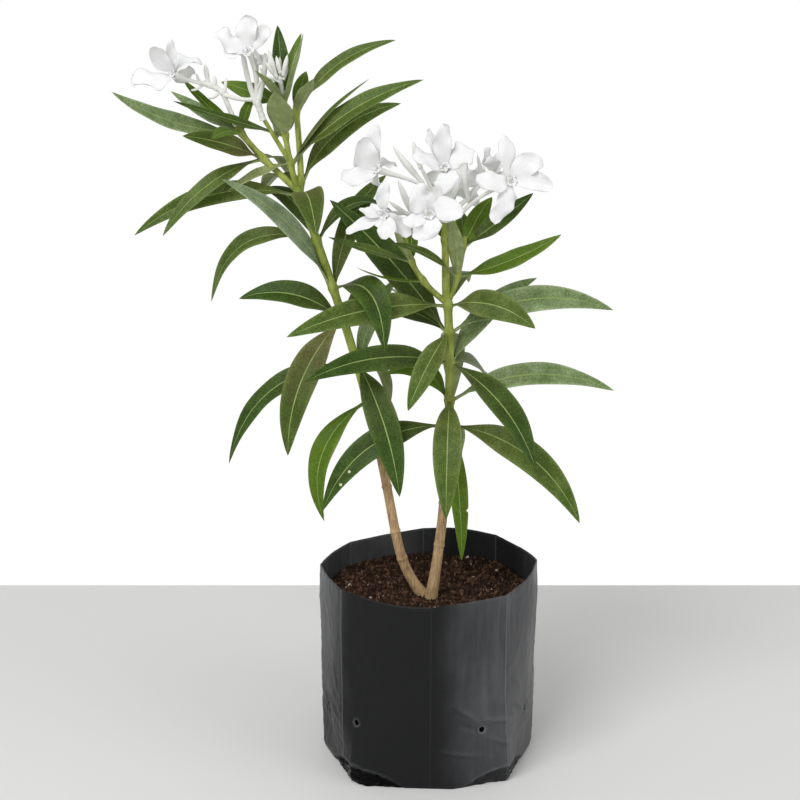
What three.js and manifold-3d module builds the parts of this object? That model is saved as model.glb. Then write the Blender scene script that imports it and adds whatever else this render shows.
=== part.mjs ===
// A young potted oleander. Two slim stems lean apart from one crown in a black polythene grow bag
// filled with potting mix. Each stem forks into green boughs, carries whorls of long leathery leaves
// and ends in white blossom. Millimetres, +Z up, the origin at the centre of the bag's underside,
// +X to the right and +Y to the back.
import * as THREE from 'three';
import { mergeVertices } from 'three/addons/utils/BufferGeometryUtils.js';
import Module from 'manifold-3d';

const wasm = await Module();
wasm.setup();

// driving dimensions
const clearance = 0.3;
const bag = {
  radius: 95.5,
  height: 170,
  wall: 1.2,
  rimWave: 2.2,
  rimTilt: 6,
  rimDip: { bearing: 146, spread: 24, depth: 3.5 },
  faceBulge: 0.5,
  creaseBearings: [3, 48, 92, 138, 180, 219, 270, 312],
  stepsPerFace: 4,
  footProfile: [[0.985, 0], [1, 5], [1, 22], [1, 44], [1, 70]],
};
// The folded base is squarer than the rim. Each edge is [the bearing it faces, how far out it lies].
const base = {
  edges: [
    [0, 93], [20, 90], [75, 91], [93, 88], [159, 91], [180, 94], [201, 91], [267, 88], [286, 91], [340, 90],
  ],
  reach: 102.5,
  low: 4,
  top: 70,
};
const drain = {
  radius: 2.6,
  facets: 8,
  holes: [[22, 49], [62, 54], [118, 54], [166, 49], [194, 47], [229, 54], [298, 53], [338, 49]],
};
const soil = { top: 146, bump: 2.4, segments: 32, rings: 4, crown: [-1, -10], crownFlat: 20 };
const flare = { swell: 1.6, share: 0.16 };
const collar = { length: 7, swell: 1.5, facets: 6 };
const blade = { steps: 6, fold: 0.2, petiole: 1.3, petioleShare: 0.06, thickness: 0.0115, twistShare: 0.3 };
const petal = { count: 5, facets: 4, notch: 0.3, shoulder: 0.9, neck: 3.2, thickness: 0.9 };

// Each limb is one tapering cubic curve: four guide points, then its radius at the foot and at the tip.
const limbSizes = {
  left_stem: [[-2, -7, 140], [-48, -8, 195], [-9, -4, 221], [-110, 4, 499], 4.6, 3.4],
  right_stem: [[1, -15.5, 140], [19, -11, 249], [18, -12, 339], [14, -12, 410], 4.4, 3.5],
  left_bough_side: [[-108, 4, 494], [-119, 4, 506], [-143, 4, 524], [-158, 3, 548], 2.9, 2.4],
  left_bough_middle: [[-110, 4, 494], [-113, 4, 513], [-122, 4, 540], [-119, 4, 574], 2.7, 2.0],
  left_bough_thin: [[-115, 3, 518], [-121, 1, 530], [-129, 0, 542], [-136, 0, 555], 2.0, 1.7],
  left_bough_right: [[-107, 5, 494], [-106, 9, 515], [-109, 10, 545], [-110, 10, 568], 2.7, 2.3],
  right_bough_side: [[12, -12, 406], [0, -12, 416], [-18, -12, 430], [-22, -11, 464], 2.6, 2.0],
  right_bough_middle: [[13, -12, 406], [12, -12, 430], [12, -12, 452], [11, -12, 474], 3.4, 2.7],
  right_bough_right: [[15, -12, 406], [20, -11, 418], [25, -10, 432], [28, -9, 460], 2.2, 1.8],
};

// Each whorl sits on a limb at a height above the ground. A leaf row gives its bearing in degrees
// (0 to the right, 90 to the back), the reach and rise of its tip, the bow of its middle, its width
// and how many degrees its upper face turns to the front.
const whorlSizes = {
  left_leaves_1: ['left_stem', 318, [[213, 42, -99, 24, 21, 30], [87, 87, -60, 21, 21, -11]]],
  left_leaves_2: ['left_stem', 350, [
    [306, 59, -101, 10, 27, 42], [186, 108, -84, 27, 22, 38], [50, 50, 67, 8, 17, 14],
    [60, 52, -50, 16, 16, 0],
  ]],
  left_leaves_3: ['left_stem', 388, [
    [220, 58, -107, 16, 27, 44], [173, 87, 16, 13, 24, 47], [62, 103, 0, 19, 22, 18],
  ]],
  left_leaves_4: ['left_stem', 415, [
    [309, 67, -42, 28, 27, 28], [201, 90, 94, 12, 22, 51], [58, 81, 86, 17, 19, 35],
  ]],
  left_leaves_5: ['left_stem', 455, [
    [173, 89, -54, 27, 18, 51], [35, 82, 12, 22, 17, 20], [125, 108, 27, 20, 20, -15],
  ]],
  left_leaves_6: ['left_stem', 492, [
    [186, 134, -31, 17, 18, 75], [283, 74, -23, 15, 26, -15], [114, 97, -11, 17, 21, 0],
  ]],
  left_leaves_side_1: ['left_bough_side', 522, [
    [210, 68, 21, 3, 20, 58], [201, 84, -59, 10, 16, 48], [78, 77, -25, 8, 16, -8],
  ]],
  left_leaves_side_2: ['left_bough_side', 543, [
    [198, 101, 34, -8, 18, 51], [152, 67, 31, -1, 12, 46], [170, 47, 43, -2, 11, 38],
    [66, 24, 30, 3, 11, 0], [255, 61, 0, 3, 13, 31],
  ]],
  left_leaves_middle_1: ['left_bough_middle', 518, [
    [190, 51, -22, 3, 10, 41], [4, 63, 67, 5, 11, -15], [358, 107, 67, 10, 20, 49],
  ]],
  left_leaves_middle_2: ['left_bough_middle', 541, [
    [262, 35, 36, 1, 23, 4], [191, 88, 28, -1, 12, 32], [101, 62, -9, 11, 14, 0],
  ]],
  left_leaves_middle_3: ['left_bough_middle', 565, [
    [330, 19, 56, -1, 11, 6], [102, 26, 62, 2, 15, 2], [47, 20, 56, 3, 12, -12],
    [228, 29, 28, 2, 14, 0], [157, 56, 17, 1, 16, 60],
  ]],
  left_leaves_right: ['left_bough_right', 560, [
    [293, 41, 27, 1, 13, 0], [353, 80, 56, 11, 15, 52], [78, 30, 30, 3, 13, -13],
  ]],
  left_leaves_fork: ['left_bough_right', 503, [[20, 86, 61, 14, 18, 77]]],
  right_leaves_1: ['right_stem', 300, [
    [192, 107, -69, 23, 25, 54], [346, 111, -78, 20, 26, 73], [291, 28, -111, 7, 16, -14],
    [84, 86, -66, 11, 22, 7],
  ]],
  right_leaves_2: ['right_stem', 322, [
    [266, 56, -86, 19, 25, 6], [156, 57, 16, 16, 18, 58], [0, 136, 8, 18, 22, 51],
  ]],
  right_leaves_3: ['right_stem', 354, [
    [332, 78, -81, 12, 27, 30], [197, 122, -7, 12, 22, 80], [64, 108, -58, 13, 23, 41],
    [30, 85, 64, 12, 19, 51],
  ]],
  right_leaves_4: ['right_stem', 380, [
    [233, 55, -55, 4, 20, 38], [166, 100, 107, 5, 27, 69], [145, 84, 8, 10, 21, 38],
    [8, 138, 15, 19, 23, 73], [84, 47, -72, 20, 22, -5],
  ]],
  right_leaves_5: ['right_stem', 403, [
    [199, 136, -17, 9, 24, 68], [333, 76, -12, 10, 24, 73], [79, 116, -2, 18, 20, 13],
  ]],
  right_leaves_side_1: ['right_bough_side', 424, [[206, 58, 15, -4, 10, 8]]],
  right_leaves_side_2: ['right_bough_side', 440, [
    [187, 67, 21, -1, 12, 31], [223, 17, 34, -3, 11, 0], [90, 44, 30, 4, 12, 2],
  ]],
  right_leaves_middle: ['right_bough_middle', 458, [[134, 22, 26, 0, 13, 0], [77, 74, 4, 4, 15, 0]]],
  right_leaves_right_1: ['right_bough_right', 427, [
    [253, 21, 52, 4, 14, 0], [3, 84, 34, -4, 17, 50], [208, 61, 32, 5, 12, 40],
  ]],
  right_leaves_right_2: ['right_bough_right', 452, [
    [11, 57, 42, -1, 17, 53], [53, 40, 36, 3, 17, 30], [92, 36, 24, 4, 13, 0],
  ]],
};

// Each cyme rises from its foot to a knot, where its flowers and buds part. A flower gives its throat,
// its facing as bearing and lift, its petal length, its spin and the depth of its cup. A bud gives the
// foot and the tip of its closed corolla.
const cymeSizes = {
  left_blossom_top: {
    foot: [-136, 0, 556],
    knot: [-139, 1, 572],
    flowers: [[[-147, -5, 608], [258, 46], 31, -4, 11]],
    buds: [[[-136, -4, 588], [-137, -9, 606]], [[-142, 6, 588], [-144, 10, 610]]],
  },
  left_blossom_side: {
    foot: [-159, 3, 550],
    knot: [-165, 2, 569],
    flowers: [[[-201, -14, 590], [216, 8], 29, 42, 13]],
    buds: [[[-179, -1, 581], [-184, -2, 600]], [[-172, 4, 578], [-176, 6, 592]]],
  },
  left_buds: {
    foot: [-119, 4, 575],
    knot: [-120, 2, 584],
    flowers: [],
    buds: [
      [[-124, -1, 590], [-130, -4, 609]], [[-120, -3, 592], [-121, -7, 612]],
      [[-118, -2, 590], [-115, -6, 608]],
    ],
  },
  right_blossom: {
    foot: [11, -12, 475],
    knot: [6, -12, 488],
    flowers: [
      [[-42, -26, 517], [216, 12], 34, 26, 13],
      [[12, -10, 516], [268, 46], 36, 0, 10],
      [[66, -20, 506], [292, 24], 37, -4, 4],
      [[-40, -46, 484], [236, -6], 29, 30, 8],
      [[-1, -52, 484], [276, 6], 25, 30, 4],
      [[22, 32, 496], [76, 30], 28, 0, 6],
    ],
    buds: [
      [[-14, -12, 508], [-29, -16, 532]], [[-9, 0, 516], [-14, 2, 538]], [[-16, -30, 480], [-26, -36, 506]],
    ],
  },
};

const colours = {
  bag: 0x1d1e20, soil: 0x3a261b, bark: 0xa9855a, shoot: 0x8fa63c, leaf: 0x3f5f2c, blossom: 0xf4f4f2,
};

const radians = THREE.MathUtils.degToRad;
const blend = THREE.MathUtils.lerp;
const vector = (point) => new THREE.Vector3(...point);

function heading(bearing, lift = 0) {
  const [b, l] = [radians(bearing), radians(lift)];
  return new THREE.Vector3(Math.cos(b) * Math.cos(l), Math.sin(b) * Math.cos(l), Math.sin(l));
}

// Splits the quads that isBack picks along their other diagonal, so that the front and the back of a thin
// twisted blade are split alike and stay apart.
function matchDiagonals(geometry, quads, isBack) {
  const index = geometry.index;
  for (let quad = 0; quad < quads; quad++) {
    if (!isBack(quad)) continue;
    const corners = [0, 1, 2, 3, 4, 5].map((i) => index.getX(quad * 6 + i));
    const [a, b, d] = corners;
    const c = corners.slice(3).find((corner) => corner !== b && corner !== d);
    [a, b, c, a, c, d].forEach((corner, i) => index.setX(quad * 6 + i, corner));
  }
}

// A closed bar along a curve: half its width lies along side, and its edges are raised by fold.
function sweep(curve, steps, facets, sideAt, section) {
  const geometry = new THREE.CylinderGeometry(1, 1, 1, facets, steps);
  matchDiagonals(geometry, facets * steps, (quad) => {
    const turn = (Math.floor(quad / steps) + 0.5) / facets;
    return turn > 0.25 && turn < 0.75;
  });
  const position = geometry.attributes.position;
  for (let i = 0; i < position.count; i++) {
    const along = THREE.MathUtils.clamp(position.getY(i) + 0.5, 0, 1);
    const across = position.getX(i);
    const { half, thick, fold = 0 } = section(along);
    const tangent = curve.getTangent(along);
    const side = sideAt(tangent, along);
    const up = new THREE.Vector3().crossVectors(side, tangent);
    const lifted = position.getZ(i) * thick + Math.abs(across) * fold * half;
    const point = curve.getPoint(along).addScaledVector(side, across * half).addScaledVector(up, lifted);
    position.setXYZ(i, point.x, point.y, point.z);
  }
  return geometry;
}

const back = new THREE.Vector3(0, 1, 0);
const roundSide = (tangent) => new THREE.Vector3().crossVectors(tangent, back).normalize();

function rod(curve, steps, facets, radiusAt) {
  const section = (along) => ({ half: radiusAt(along), thick: radiusAt(along) });
  return sweep(curve, steps, facets, roundSide, section);
}

function solid(geometry) {
  const bare = geometry.clone();
  bare.deleteAttribute('normal');
  bare.deleteAttribute('uv');
  const merged = mergeVertices(bare, 1e-4);
  return new wasm.Manifold(
    new wasm.Mesh({
      numProp: 3,
      vertProperties: merged.attributes.position.array,
      triVerts: new Uint32Array(merged.index.array),
    }),
  );
}

function largest(manifold) {
  return manifold.decompose().reduce((best, piece) => (piece.volume() > best.volume() ? piece : best));
}

function mesh(name, manifold, colour) {
  const made = manifold.getMesh();
  const geometry = new THREE.BufferGeometry();
  geometry.setAttribute('position', new THREE.BufferAttribute(made.vertProperties, 3));
  geometry.setIndex(new THREE.BufferAttribute(made.triVerts, 1));
  geometry.computeVertexNormals();
  const material = new THREE.MeshStandardMaterial({ color: colour, roughness: 0.6, metalness: 0 });
  const named = new THREE.Mesh(geometry, material);
  named.name = name;
  return named;
}

// limbs
function makeLimb([foot, low, high, tip, footRadius, tipRadius]) {
  const curve = new THREE.CubicBezierCurve3(...[foot, low, high, tip].map(vector));
  const rooted = foot[2] < soil.top;
  const flareAt = (along) => (rooted ? flare.swell * Math.max(0, 1 - along / flare.share) ** 2 : 0);
  const radiusAt = (along) => blend(footRadius, tipRadius, along) + flareAt(along);
  const shareAt = (height) => {
    let [below, above] = [0, 1];
    for (let i = 0; i < 30; i++) {
      const middle = (below + above) / 2;
      if (curve.getPoint(middle).z < height) below = middle;
      else above = middle;
    }
    return below;
  };
  const grown = (extra) => solid(rod(curve, rooted ? 16 : 7, 8, (along) => radiusAt(along) + extra));
  return { curve, radiusAt, shareAt, grown };
}

const limbs = Object.fromEntries(Object.entries(limbSizes).map(([name, sizes]) => [name, makeLimb(sizes)]));

function groundBlock() {
  const block = new THREE.BoxGeometry(4 * bag.radius, 4 * bag.radius, soil.top);
  block.translate(0, 0, soil.top / 2 + clearance);
  return solid(block);
}

function limbMeshes() {
  const ground = groundBlock();
  const before = [];
  return Object.entries(limbs).map(([name, limb]) => {
    let made = limb.grown(0).subtract(ground);
    for (const earlier of before) made = made.subtract(earlier);
    before.push(limb.grown(clearance));
    return mesh(name, largest(made), name.includes('stem') ? colours.bark : colours.shoot);
  });
}

function clearOfLimbs(manifold) {
  let made = manifold;
  for (const limb of Object.values(limbs)) made = made.subtract(limb.grown(clearance));
  return largest(made);
}

// leaves
function bladeHalf(along, width) {
  if (along < blade.petioleShare) return blade.petiole;
  const share = (along - blade.petioleShare) / (1 - blade.petioleShare);
  const lance = Math.sin(Math.PI * share ** 0.85) ** 0.8;
  return blade.petiole * (1 - share) + 0.3 + (width / 2 - blade.petiole / 2) * lance;
}

function leafCurve(base, [bearing, reach, rise, bow]) {
  const out = heading(bearing);
  const tip = base.clone().addScaledVector(out, reach).add(new THREE.Vector3(0, 0, rise));
  const length = Math.hypot(reach, rise);
  const guide = base.clone().lerp(tip, 0.5);
  guide.addScaledVector(out, (-2 * bow * rise) / length);
  guide.z += (2 * bow * reach) / length;
  return new THREE.QuadraticBezierCurve3(base, guide, tip);
}

function leaf(base, row) {
  const [bearing, reach, rise, , width, facing] = row;
  const level = new THREE.Vector3().crossVectors(heading(bearing), new THREE.Vector3(0, 0, 1));
  const turn = radians(facing) * Math.sign(Math.cos(radians(bearing)));
  const side = (tangent, along) => {
    return level.clone().applyAxisAngle(tangent, turn * Math.min(1, along / blade.twistShare));
  };
  const thick = Math.hypot(reach, rise) * blade.thickness / 2;
  const section = (along) => ({
    half: bladeHalf(along, width),
    thick: blend(thick + 0.4, 0.25, along),
    fold: blade.fold * Math.sin(Math.PI * along),
  });
  return sweep(leafCurve(base, row), blade.steps, 4, side, section);
}

function whorl([on, height, leaves]) {
  const limb = limbs[on];
  const share = limb.shareAt(height);
  const centre = limb.curve.getPoint(share);
  const reach = limb.curve.getTangent(share).multiplyScalar(collar.length / 2);
  const ring = new THREE.LineCurve3(centre.clone().sub(reach), centre.clone().add(reach));
  const outer = limb.radiusAt(share) + collar.swell;
  let made = solid(rod(ring, 1, collar.facets, () => outer));
  for (const row of leaves) {
    const root = centre.clone().addScaledVector(heading(row[0]), limb.radiusAt(share) + collar.swell / 2);
    made = made.add(solid(leaf(root, row)));
  }
  return clearOfLimbs(made);
}

// blossom
function lobeShare(turn, out) {
  const within = (turn * petal.count * petal.facets) % petal.facets;
  const edge = within < 0.5 ? petal.notch : within < 1.5 || within > petal.facets - 1.5 ? petal.shoulder : 1;
  return blend(1, edge, THREE.MathUtils.smoothstep(out, 0, 0.8));
}

function flowerHead(throat, axis, length, spin, cup) {
  const neck = petal.neck / length;
  const half = petal.thickness / 2;
  const across = new THREE.Vector3().crossVectors(axis, new THREE.Vector3(0, 0, 1)).normalize();
  const profile = [
    [0, -3.5], [neck, -3.5], [0.45, cup * 0.7 - half], [1, cup - half * 0.6],
    [1, cup + half * 0.6], [0.45, cup * 0.7 + half], [neck * 0.6, -0.8], [0, -0.8],
  ];
  const place = (turn, out, depth) => {
    const along = across.clone().applyAxisAngle(axis, radians(spin - 36) + 2 * Math.PI * turn);
    const reach = length * out * lobeShare(turn, out);
    return throat.clone().addScaledVector(axis, depth).addScaledVector(along, reach);
  };
  return turned(profile, petal.count * petal.facets, place);
}

function flowerParts(knot, [throatPoint, [bearing, lift], length, spin, cup]) {
  const throat = vector(throatPoint);
  const axis = heading(bearing, lift);
  const end = throat.clone().addScaledVector(axis, -1.6);
  const tube = new THREE.QuadraticBezierCurve3(knot, throat.clone().addScaledVector(axis, -20), end);
  const tubeRadius = (along) => 1.2 + 1.6 * THREE.MathUtils.smoothstep(along, 0.45, 1);
  return [solid(rod(tube, 4, 6, tubeRadius)), solid(flowerHead(throat, axis, length, spin, cup))];
}

function budPart(knot, [start, tip]) {
  const curve = new THREE.QuadraticBezierCurve3(knot, vector(start), vector(tip));
  const swellAt = (along) => Math.sin(Math.PI * THREE.MathUtils.smoothstep(along, 0.3, 1.05));
  const radiusAt = (along) => blend(1.1, 0.7, along) + 2 * swellAt(along);
  return solid(rod(curve, 5, 5, radiusAt));
}

function cyme({ foot, knot, flowers, buds }) {
  const start = vector(foot).add(new THREE.Vector3(0, 0, clearance));
  const top = vector(knot);
  const parts = [solid(rod(new THREE.LineCurve3(start, top), 1, 6, (along) => blend(1.7, 2.1, along)))];
  for (const flower of flowers) parts.push(...flowerParts(top, flower));
  for (const bud of buds) parts.push(budPart(top, bud));
  return clearOfLimbs(parts.reduce((made, part) => made.add(part)));
}

// the grow bag and its soil
function bagBearing(turn) {
  const creases = bag.creaseBearings;
  const faces = creases.length;
  const face = Math.floor(turn * faces) % faces;
  const within = turn * faces - Math.floor(turn * faces);
  const next = face + 1 < faces ? creases[face + 1] : creases[0] + 360;
  return { bearing: blend(creases[face], next, within), half: (next - creases[face]) / 2, within };
}

function bagShare(turn) {
  const { half, within } = bagBearing(turn);
  const flat = Math.cos(radians(half)) / Math.cos(radians((within * 2 - 1) * half));
  return blend(flat, 1, bag.faceBulge);
}

function bagWidthShare(height) {
  const profile = [...bag.footProfile, [1, bag.height]];
  const above = profile.findIndex(([, level]) => level >= height);
  if (above <= 0) return profile[above < 0 ? profile.length - 1 : 0][0];
  const [[lowShare, low], [highShare, high]] = [profile[above - 1], profile[above]];
  return blend(lowShare, highShare, (height - low) / (high - low));
}

function rimLift(turn) {
  const angle = radians(bagBearing(turn).bearing);
  const wave = bag.rimWave * (Math.cos(2 * angle + 0.6) * 0.6 + Math.cos(5 * angle) * 0.4);
  const tilt = bag.rimTilt * Math.max(0, Math.sin(angle)) ** 2 * Math.cos(angle);
  const gap = (bagBearing(turn).bearing - bag.rimDip.bearing) / bag.rimDip.spread;
  return wave + tilt - bag.rimDip.depth * Math.exp(-(gap ** 2));
}

// Turns a profile of [distance from the axis, height] round the axis, with each point put where place says.
function turned(profile, segments, place) {
  const geometry = new THREE.LatheGeometry(profile.map(([r, z]) => new THREE.Vector2(r, z)), segments);
  const bands = profile.length - 1;
  matchDiagonals(geometry, segments * bands, (quad) => quad % bands >= profile.length / 2);
  const position = geometry.attributes.position;
  for (let i = 0; i < position.count; i++) {
    const turn = (Math.floor(i / profile.length) % segments) / segments;
    const [radius, height] = profile[i % profile.length];
    const point = place(turn, radius, height);
    position.setXYZ(i, point.x, point.y, point.z);
  }
  return geometry;
}

function baseShare(bearing) {
  const ways = base.edges.map(([facing, away]) => away / Math.max(0.2, Math.cos(radians(bearing - facing))));
  return Math.min(base.reach, ...ways) / bag.radius;
}

function atTurn(turn, radius, height) {
  const { bearing } = bagBearing(turn);
  const rise = THREE.MathUtils.smoothstep(height, base.low, base.top);
  const share = blend(baseShare(bearing), bagShare(turn), rise);
  return heading(bearing).multiplyScalar(radius * share).setZ(height);
}

function bagSolid() {
  const levels = [...bag.footProfile.map(([, level]) => level), bag.height];
  const outside = levels.map((level) => [bag.radius * bagWidthShare(level), level]);
  const inside = outside.slice(1).map(([r, z]) => [r - bag.wall, z]).reverse();
  const floor = [outside[0][0] - bag.wall, bag.wall];
  const profile = [[0, 0], ...outside, ...inside, floor, [0, bag.wall]];
  const place = (turn, radius, height) => {
    const lift = height === bag.height ? rimLift(turn) : 0;
    return atTurn(turn, radius, height + lift);
  };
  const segments = bag.creaseBearings.length * bag.stepsPerFace;
  return drain.holes.reduce(
    (made, [bearing, height]) => made.subtract(drainCutter(bearing, height)),
    solid(turned(profile, segments, place)),
  );
}

function drainCutter(bearing, height) {
  const cutter = new THREE.CylinderGeometry(drain.radius, drain.radius, 30, drain.facets);
  cutter.rotateZ(radians(bearing - 90));
  cutter.translate(...heading(bearing).multiplyScalar(bag.radius * 0.93).setZ(height));
  return solid(cutter);
}

function soilBump(point) {
  const away = Math.hypot(point.x - soil.crown[0], point.y - soil.crown[1]);
  const humps = Math.sin(point.x * 0.11) * Math.cos(point.y * 0.13);
  const ripples = 0.6 * Math.sin(point.x * 0.07 - point.y * 0.19);
  return soil.bump * (humps + ripples) * THREE.MathUtils.smoothstep(away, soil.crownFlat, soil.crownFlat * 2);
}

function soilSolid() {
  const inset = bag.wall + clearance + 0.2;
  const wallLevels = [bag.wall + clearance, ...bag.footProfile.slice(1).map(([, level]) => level), soil.top];
  const wall = wallLevels.map((level) => [bag.radius * bagWidthShare(level) - inset, level]);
  const rim = wall[wall.length - 1][0];
  const top = Array.from({ length: soil.rings }, (_, i) => [rim * (1 - (i + 1) / soil.rings), soil.top]);
  const profile = [[0, wallLevels[0]], ...wall, ...top];
  wall[0][0] = bag.radius * bag.footProfile[0][0] - inset;
  const place = (turn, radius, height) => {
    const point = atTurn(turn, radius, height);
    if (height === soil.top && radius < rim) point.z += soilBump(point);
    return point;
  };
  return solid(turned(profile, soil.segments, place));
}

const plant = new THREE.Group();
plant.add(mesh('grow_bag', bagSolid(), colours.bag), mesh('soil', soilSolid(), colours.soil));
plant.add(...limbMeshes());
for (const [name, sizes] of Object.entries(whorlSizes)) plant.add(mesh(name, whorl(sizes), colours.leaf));
for (const [name, sizes] of Object.entries(cymeSizes)) plant.add(mesh(name, cyme(sizes), colours.blossom));

export default plant;
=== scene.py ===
# A young potted oleander: two slim stems in a black grow bag, with whorls of leathery leaves and white blossom.
# Lengths in the tables are millimetres, and mm makes them metres. +Z is up, +X right and +Y back, and the origin
# is the centre of the bag's underside. A bearing is in degrees: 0 to the right, 90 to the back.
import math
import random

import bpy
from mathutils import Matrix, Vector, noise


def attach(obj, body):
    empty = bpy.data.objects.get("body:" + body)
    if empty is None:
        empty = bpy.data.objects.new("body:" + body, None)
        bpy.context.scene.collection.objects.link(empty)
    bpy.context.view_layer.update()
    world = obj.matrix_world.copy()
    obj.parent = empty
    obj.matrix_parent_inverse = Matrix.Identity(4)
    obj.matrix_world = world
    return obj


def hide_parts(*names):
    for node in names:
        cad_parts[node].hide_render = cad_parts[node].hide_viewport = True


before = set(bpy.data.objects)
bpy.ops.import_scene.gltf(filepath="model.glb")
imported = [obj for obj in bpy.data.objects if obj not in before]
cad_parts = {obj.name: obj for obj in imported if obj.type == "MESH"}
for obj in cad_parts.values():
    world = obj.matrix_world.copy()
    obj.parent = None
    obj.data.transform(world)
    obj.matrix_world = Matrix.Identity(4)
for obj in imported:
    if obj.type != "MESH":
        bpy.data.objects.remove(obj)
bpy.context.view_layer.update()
mm = 0.001
nodeNames = sorted(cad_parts)
print("frame:", len(nodeNames), "nodes")


def nodesNamed(*starts):
    return [name for name in nodeNames if name.startswith(starts)]


# Node sums: a Wire is an output socket, and arithmetic on it adds the Math or Vector Math nodes.
class Wire:
    def __init__(self, graph, socket):
        self.graph = graph
        self.socket = socket

    def work(self, operation, first, second):
        vectors = [isinstance(v, tuple) or isinstance(v, Wire) and v.socket.type in ("VECTOR", "RGBA")
                   for v in (first, second)]
        if not any(vectors):
            return self.graph.add("ShaderNodeMath", {"operation": operation}, [first, second])
        if operation == "MULTIPLY" and not all(vectors):
            vector, factor = (first, second) if vectors[0] else (second, first)
            feeds = {"Vector": vector, "Scale": factor}
            return self.graph.add("ShaderNodeVectorMath", {"operation": "SCALE"}, feeds)
        return self.graph.add("ShaderNodeVectorMath", {"operation": operation}, [first, second])

    def maths(self, operation, *others):
        return self.graph.add("ShaderNodeMath", {"operation": operation}, [self, *others])

    def __add__(self, other):
        return self.work("ADD", self, other)

    def __radd__(self, other):
        return self.work("ADD", other, self)

    def __sub__(self, other):
        return self.work("SUBTRACT", self, other)

    def __rsub__(self, other):
        return self.work("SUBTRACT", other, self)

    def __mul__(self, other):
        return self.work("MULTIPLY", self, other)

    def __rmul__(self, other):
        return self.work("MULTIPLY", other, self)

    def __pow__(self, other):
        return self.work("POWER", self, other)

    def __gt__(self, other):
        return self.work("GREATER_THAN", self, other)

    def __lt__(self, other):
        return self.work("LESS_THAN", self, other)

    def __abs__(self):
        return self.maths("ABSOLUTE")

    def sine(self):
        return self.maths("SINE")

    def within(self, low, high):  # 0 at low and 1 at high, held between them
        settings = {"interpolation_type": "SMOOTHSTEP"}
        return self.graph.add("ShaderNodeMapRange", settings, [self, low, high, 0.0, 1.0])


class Graph:
    def __init__(self, tree):
        self.tree = tree

    # Adds any node: its type, its settings, then the values or wires of its sockets, by place or by name.
    def add(self, kind, settings=None, feeds=(), out=0):
        node = self.tree.nodes.new(kind)
        for name, value in (settings or {}).items():
            setattr(node, name, value)
        sockets = [socket for socket in node.inputs if socket.enabled]
        for key, value in feeds.items() if isinstance(feeds, dict) else enumerate(feeds):
            socket = sockets[key] if isinstance(key, int) else next(s for s in sockets if s.name == key)
            if isinstance(value, Wire):
                self.tree.links.new(value.socket, socket)
            else:
                socket.default_value = value
        outputs = [socket for socket in node.outputs if socket.enabled]
        if outputs:
            return Wire(self, outputs[out] if isinstance(out, int) else next(s for s in outputs if s.name == out))

    def part(self, vector, axis):  # one axis of a vector
        return self.add("ShaderNodeSeparateXYZ", {}, [vector], axis)

    def joined(self, x, y, z):
        return self.add("ShaderNodeCombineXYZ", {}, [x, y, z])

    def sheet(self):  # the piece's own UV map
        return self.add("ShaderNodeUVMap", {"uv_map": "UVMap"})

    def attribute(self, name, out):  # a named attribute, read by a material
        return self.add("ShaderNodeAttribute", {"attribute_name": name}, (), out)

    def stored(self, skin, name, kind, domain, value):
        feeds = {"Geometry": skin, "Name": name, "Value": value}
        return self.add("GeometryNodeStoreNamedAttribute", {"data_type": kind, "domain": domain}, feeds)

    def colours(self, low, high, share):
        low, high = [(*c, 1.0) if isinstance(c, tuple) else c for c in (low, high)]
        return self.add("ShaderNodeMix", {"data_type": "RGBA"}, {"Factor": share, "A": low, "B": high})

    def place(self, stretch=(1.0, 1.0, 1.0)):  # Object coordinates, stretched
        spot = self.add("ShaderNodeTexCoord", {}, (), "Object")
        return self.add("ShaderNodeMapping", {}, {"Vector": spot, "Scale": stretch})

    def noise(self, vector, scale, detail=3.0, roughness=0.55):
        feeds = {"Vector": vector, "Scale": scale, "Detail": detail, "Roughness": roughness}
        return self.add("ShaderNodeTexNoise", {}, feeds)

    def bump(self, height, distance, strength=1.0, under=None):
        feeds = {"Strength": strength, "Distance": distance, "Height": height}
        if under is not None:
            feeds["Normal"] = under
        return self.add("ShaderNodeBump", {}, feeds)

    def across(self, name, kind="FLOAT"):  # a named attribute of the guides
        return self.add("GeometryNodeInputNamedAttribute", {"data_type": kind}, [name])


def finish(name, fixed, build):
    # fixed holds the shader's plain values, and build returns what varies over the surface
    made = bpy.data.materials.new(name)
    made.use_nodes = True
    made.node_tree.nodes.clear()
    graph = Graph(made.node_tree)
    shader = graph.add("ShaderNodeBsdfPrincipled", {}, {**fixed, **build(graph)})
    made.node_tree.nodes.new("ShaderNodeOutputMaterial")
    made.node_tree.links.new(shader.socket, made.node_tree.nodes[-1].inputs["Surface"])
    return made


def growthTree(name, labels):
    tree = bpy.data.node_groups.new(name, "GeometryNodeTree")
    tree.interface.new_socket("Geometry", in_out="INPUT", socket_type="NodeSocketGeometry")
    for label, kind in labels.items():
        tree.interface.new_socket(label, in_out="INPUT", socket_type=kind)
    tree.interface.new_socket("Geometry", in_out="OUTPUT", socket_type="NodeSocketGeometry")
    graph = Graph(tree)
    entry = tree.nodes.new("NodeGroupInput")
    return graph, {socket.name: Wire(graph, socket) for socket in entry.outputs if socket.name}


def newObject(name, data):
    made = bpy.data.objects.new(name, data)
    bpy.context.scene.collection.objects.link(made)
    return made


def grown(name, carrier, graph, values):
    # runs the tree on the carrier and keeps the result as a plain mesh
    modifier = carrier.modifiers.new("growth", "NODES")
    modifier.node_group = graph.tree
    for item in graph.tree.interface.items_tree:
        if item.in_out == "INPUT" and item.name in values:
            modifier[item.identifier] = values[item.name]
    depsgraph = bpy.context.evaluated_depsgraph_get()
    mesh = bpy.data.meshes.new_from_object(
        carrier.evaluated_get(depsgraph), preserve_all_data_layers=True, depsgraph=depsgraph
    )
    mesh.name = name
    carrier.modifiers.remove(modifier)
    bpy.data.objects.remove(carrier)
    return newObject(name, mesh)


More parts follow.
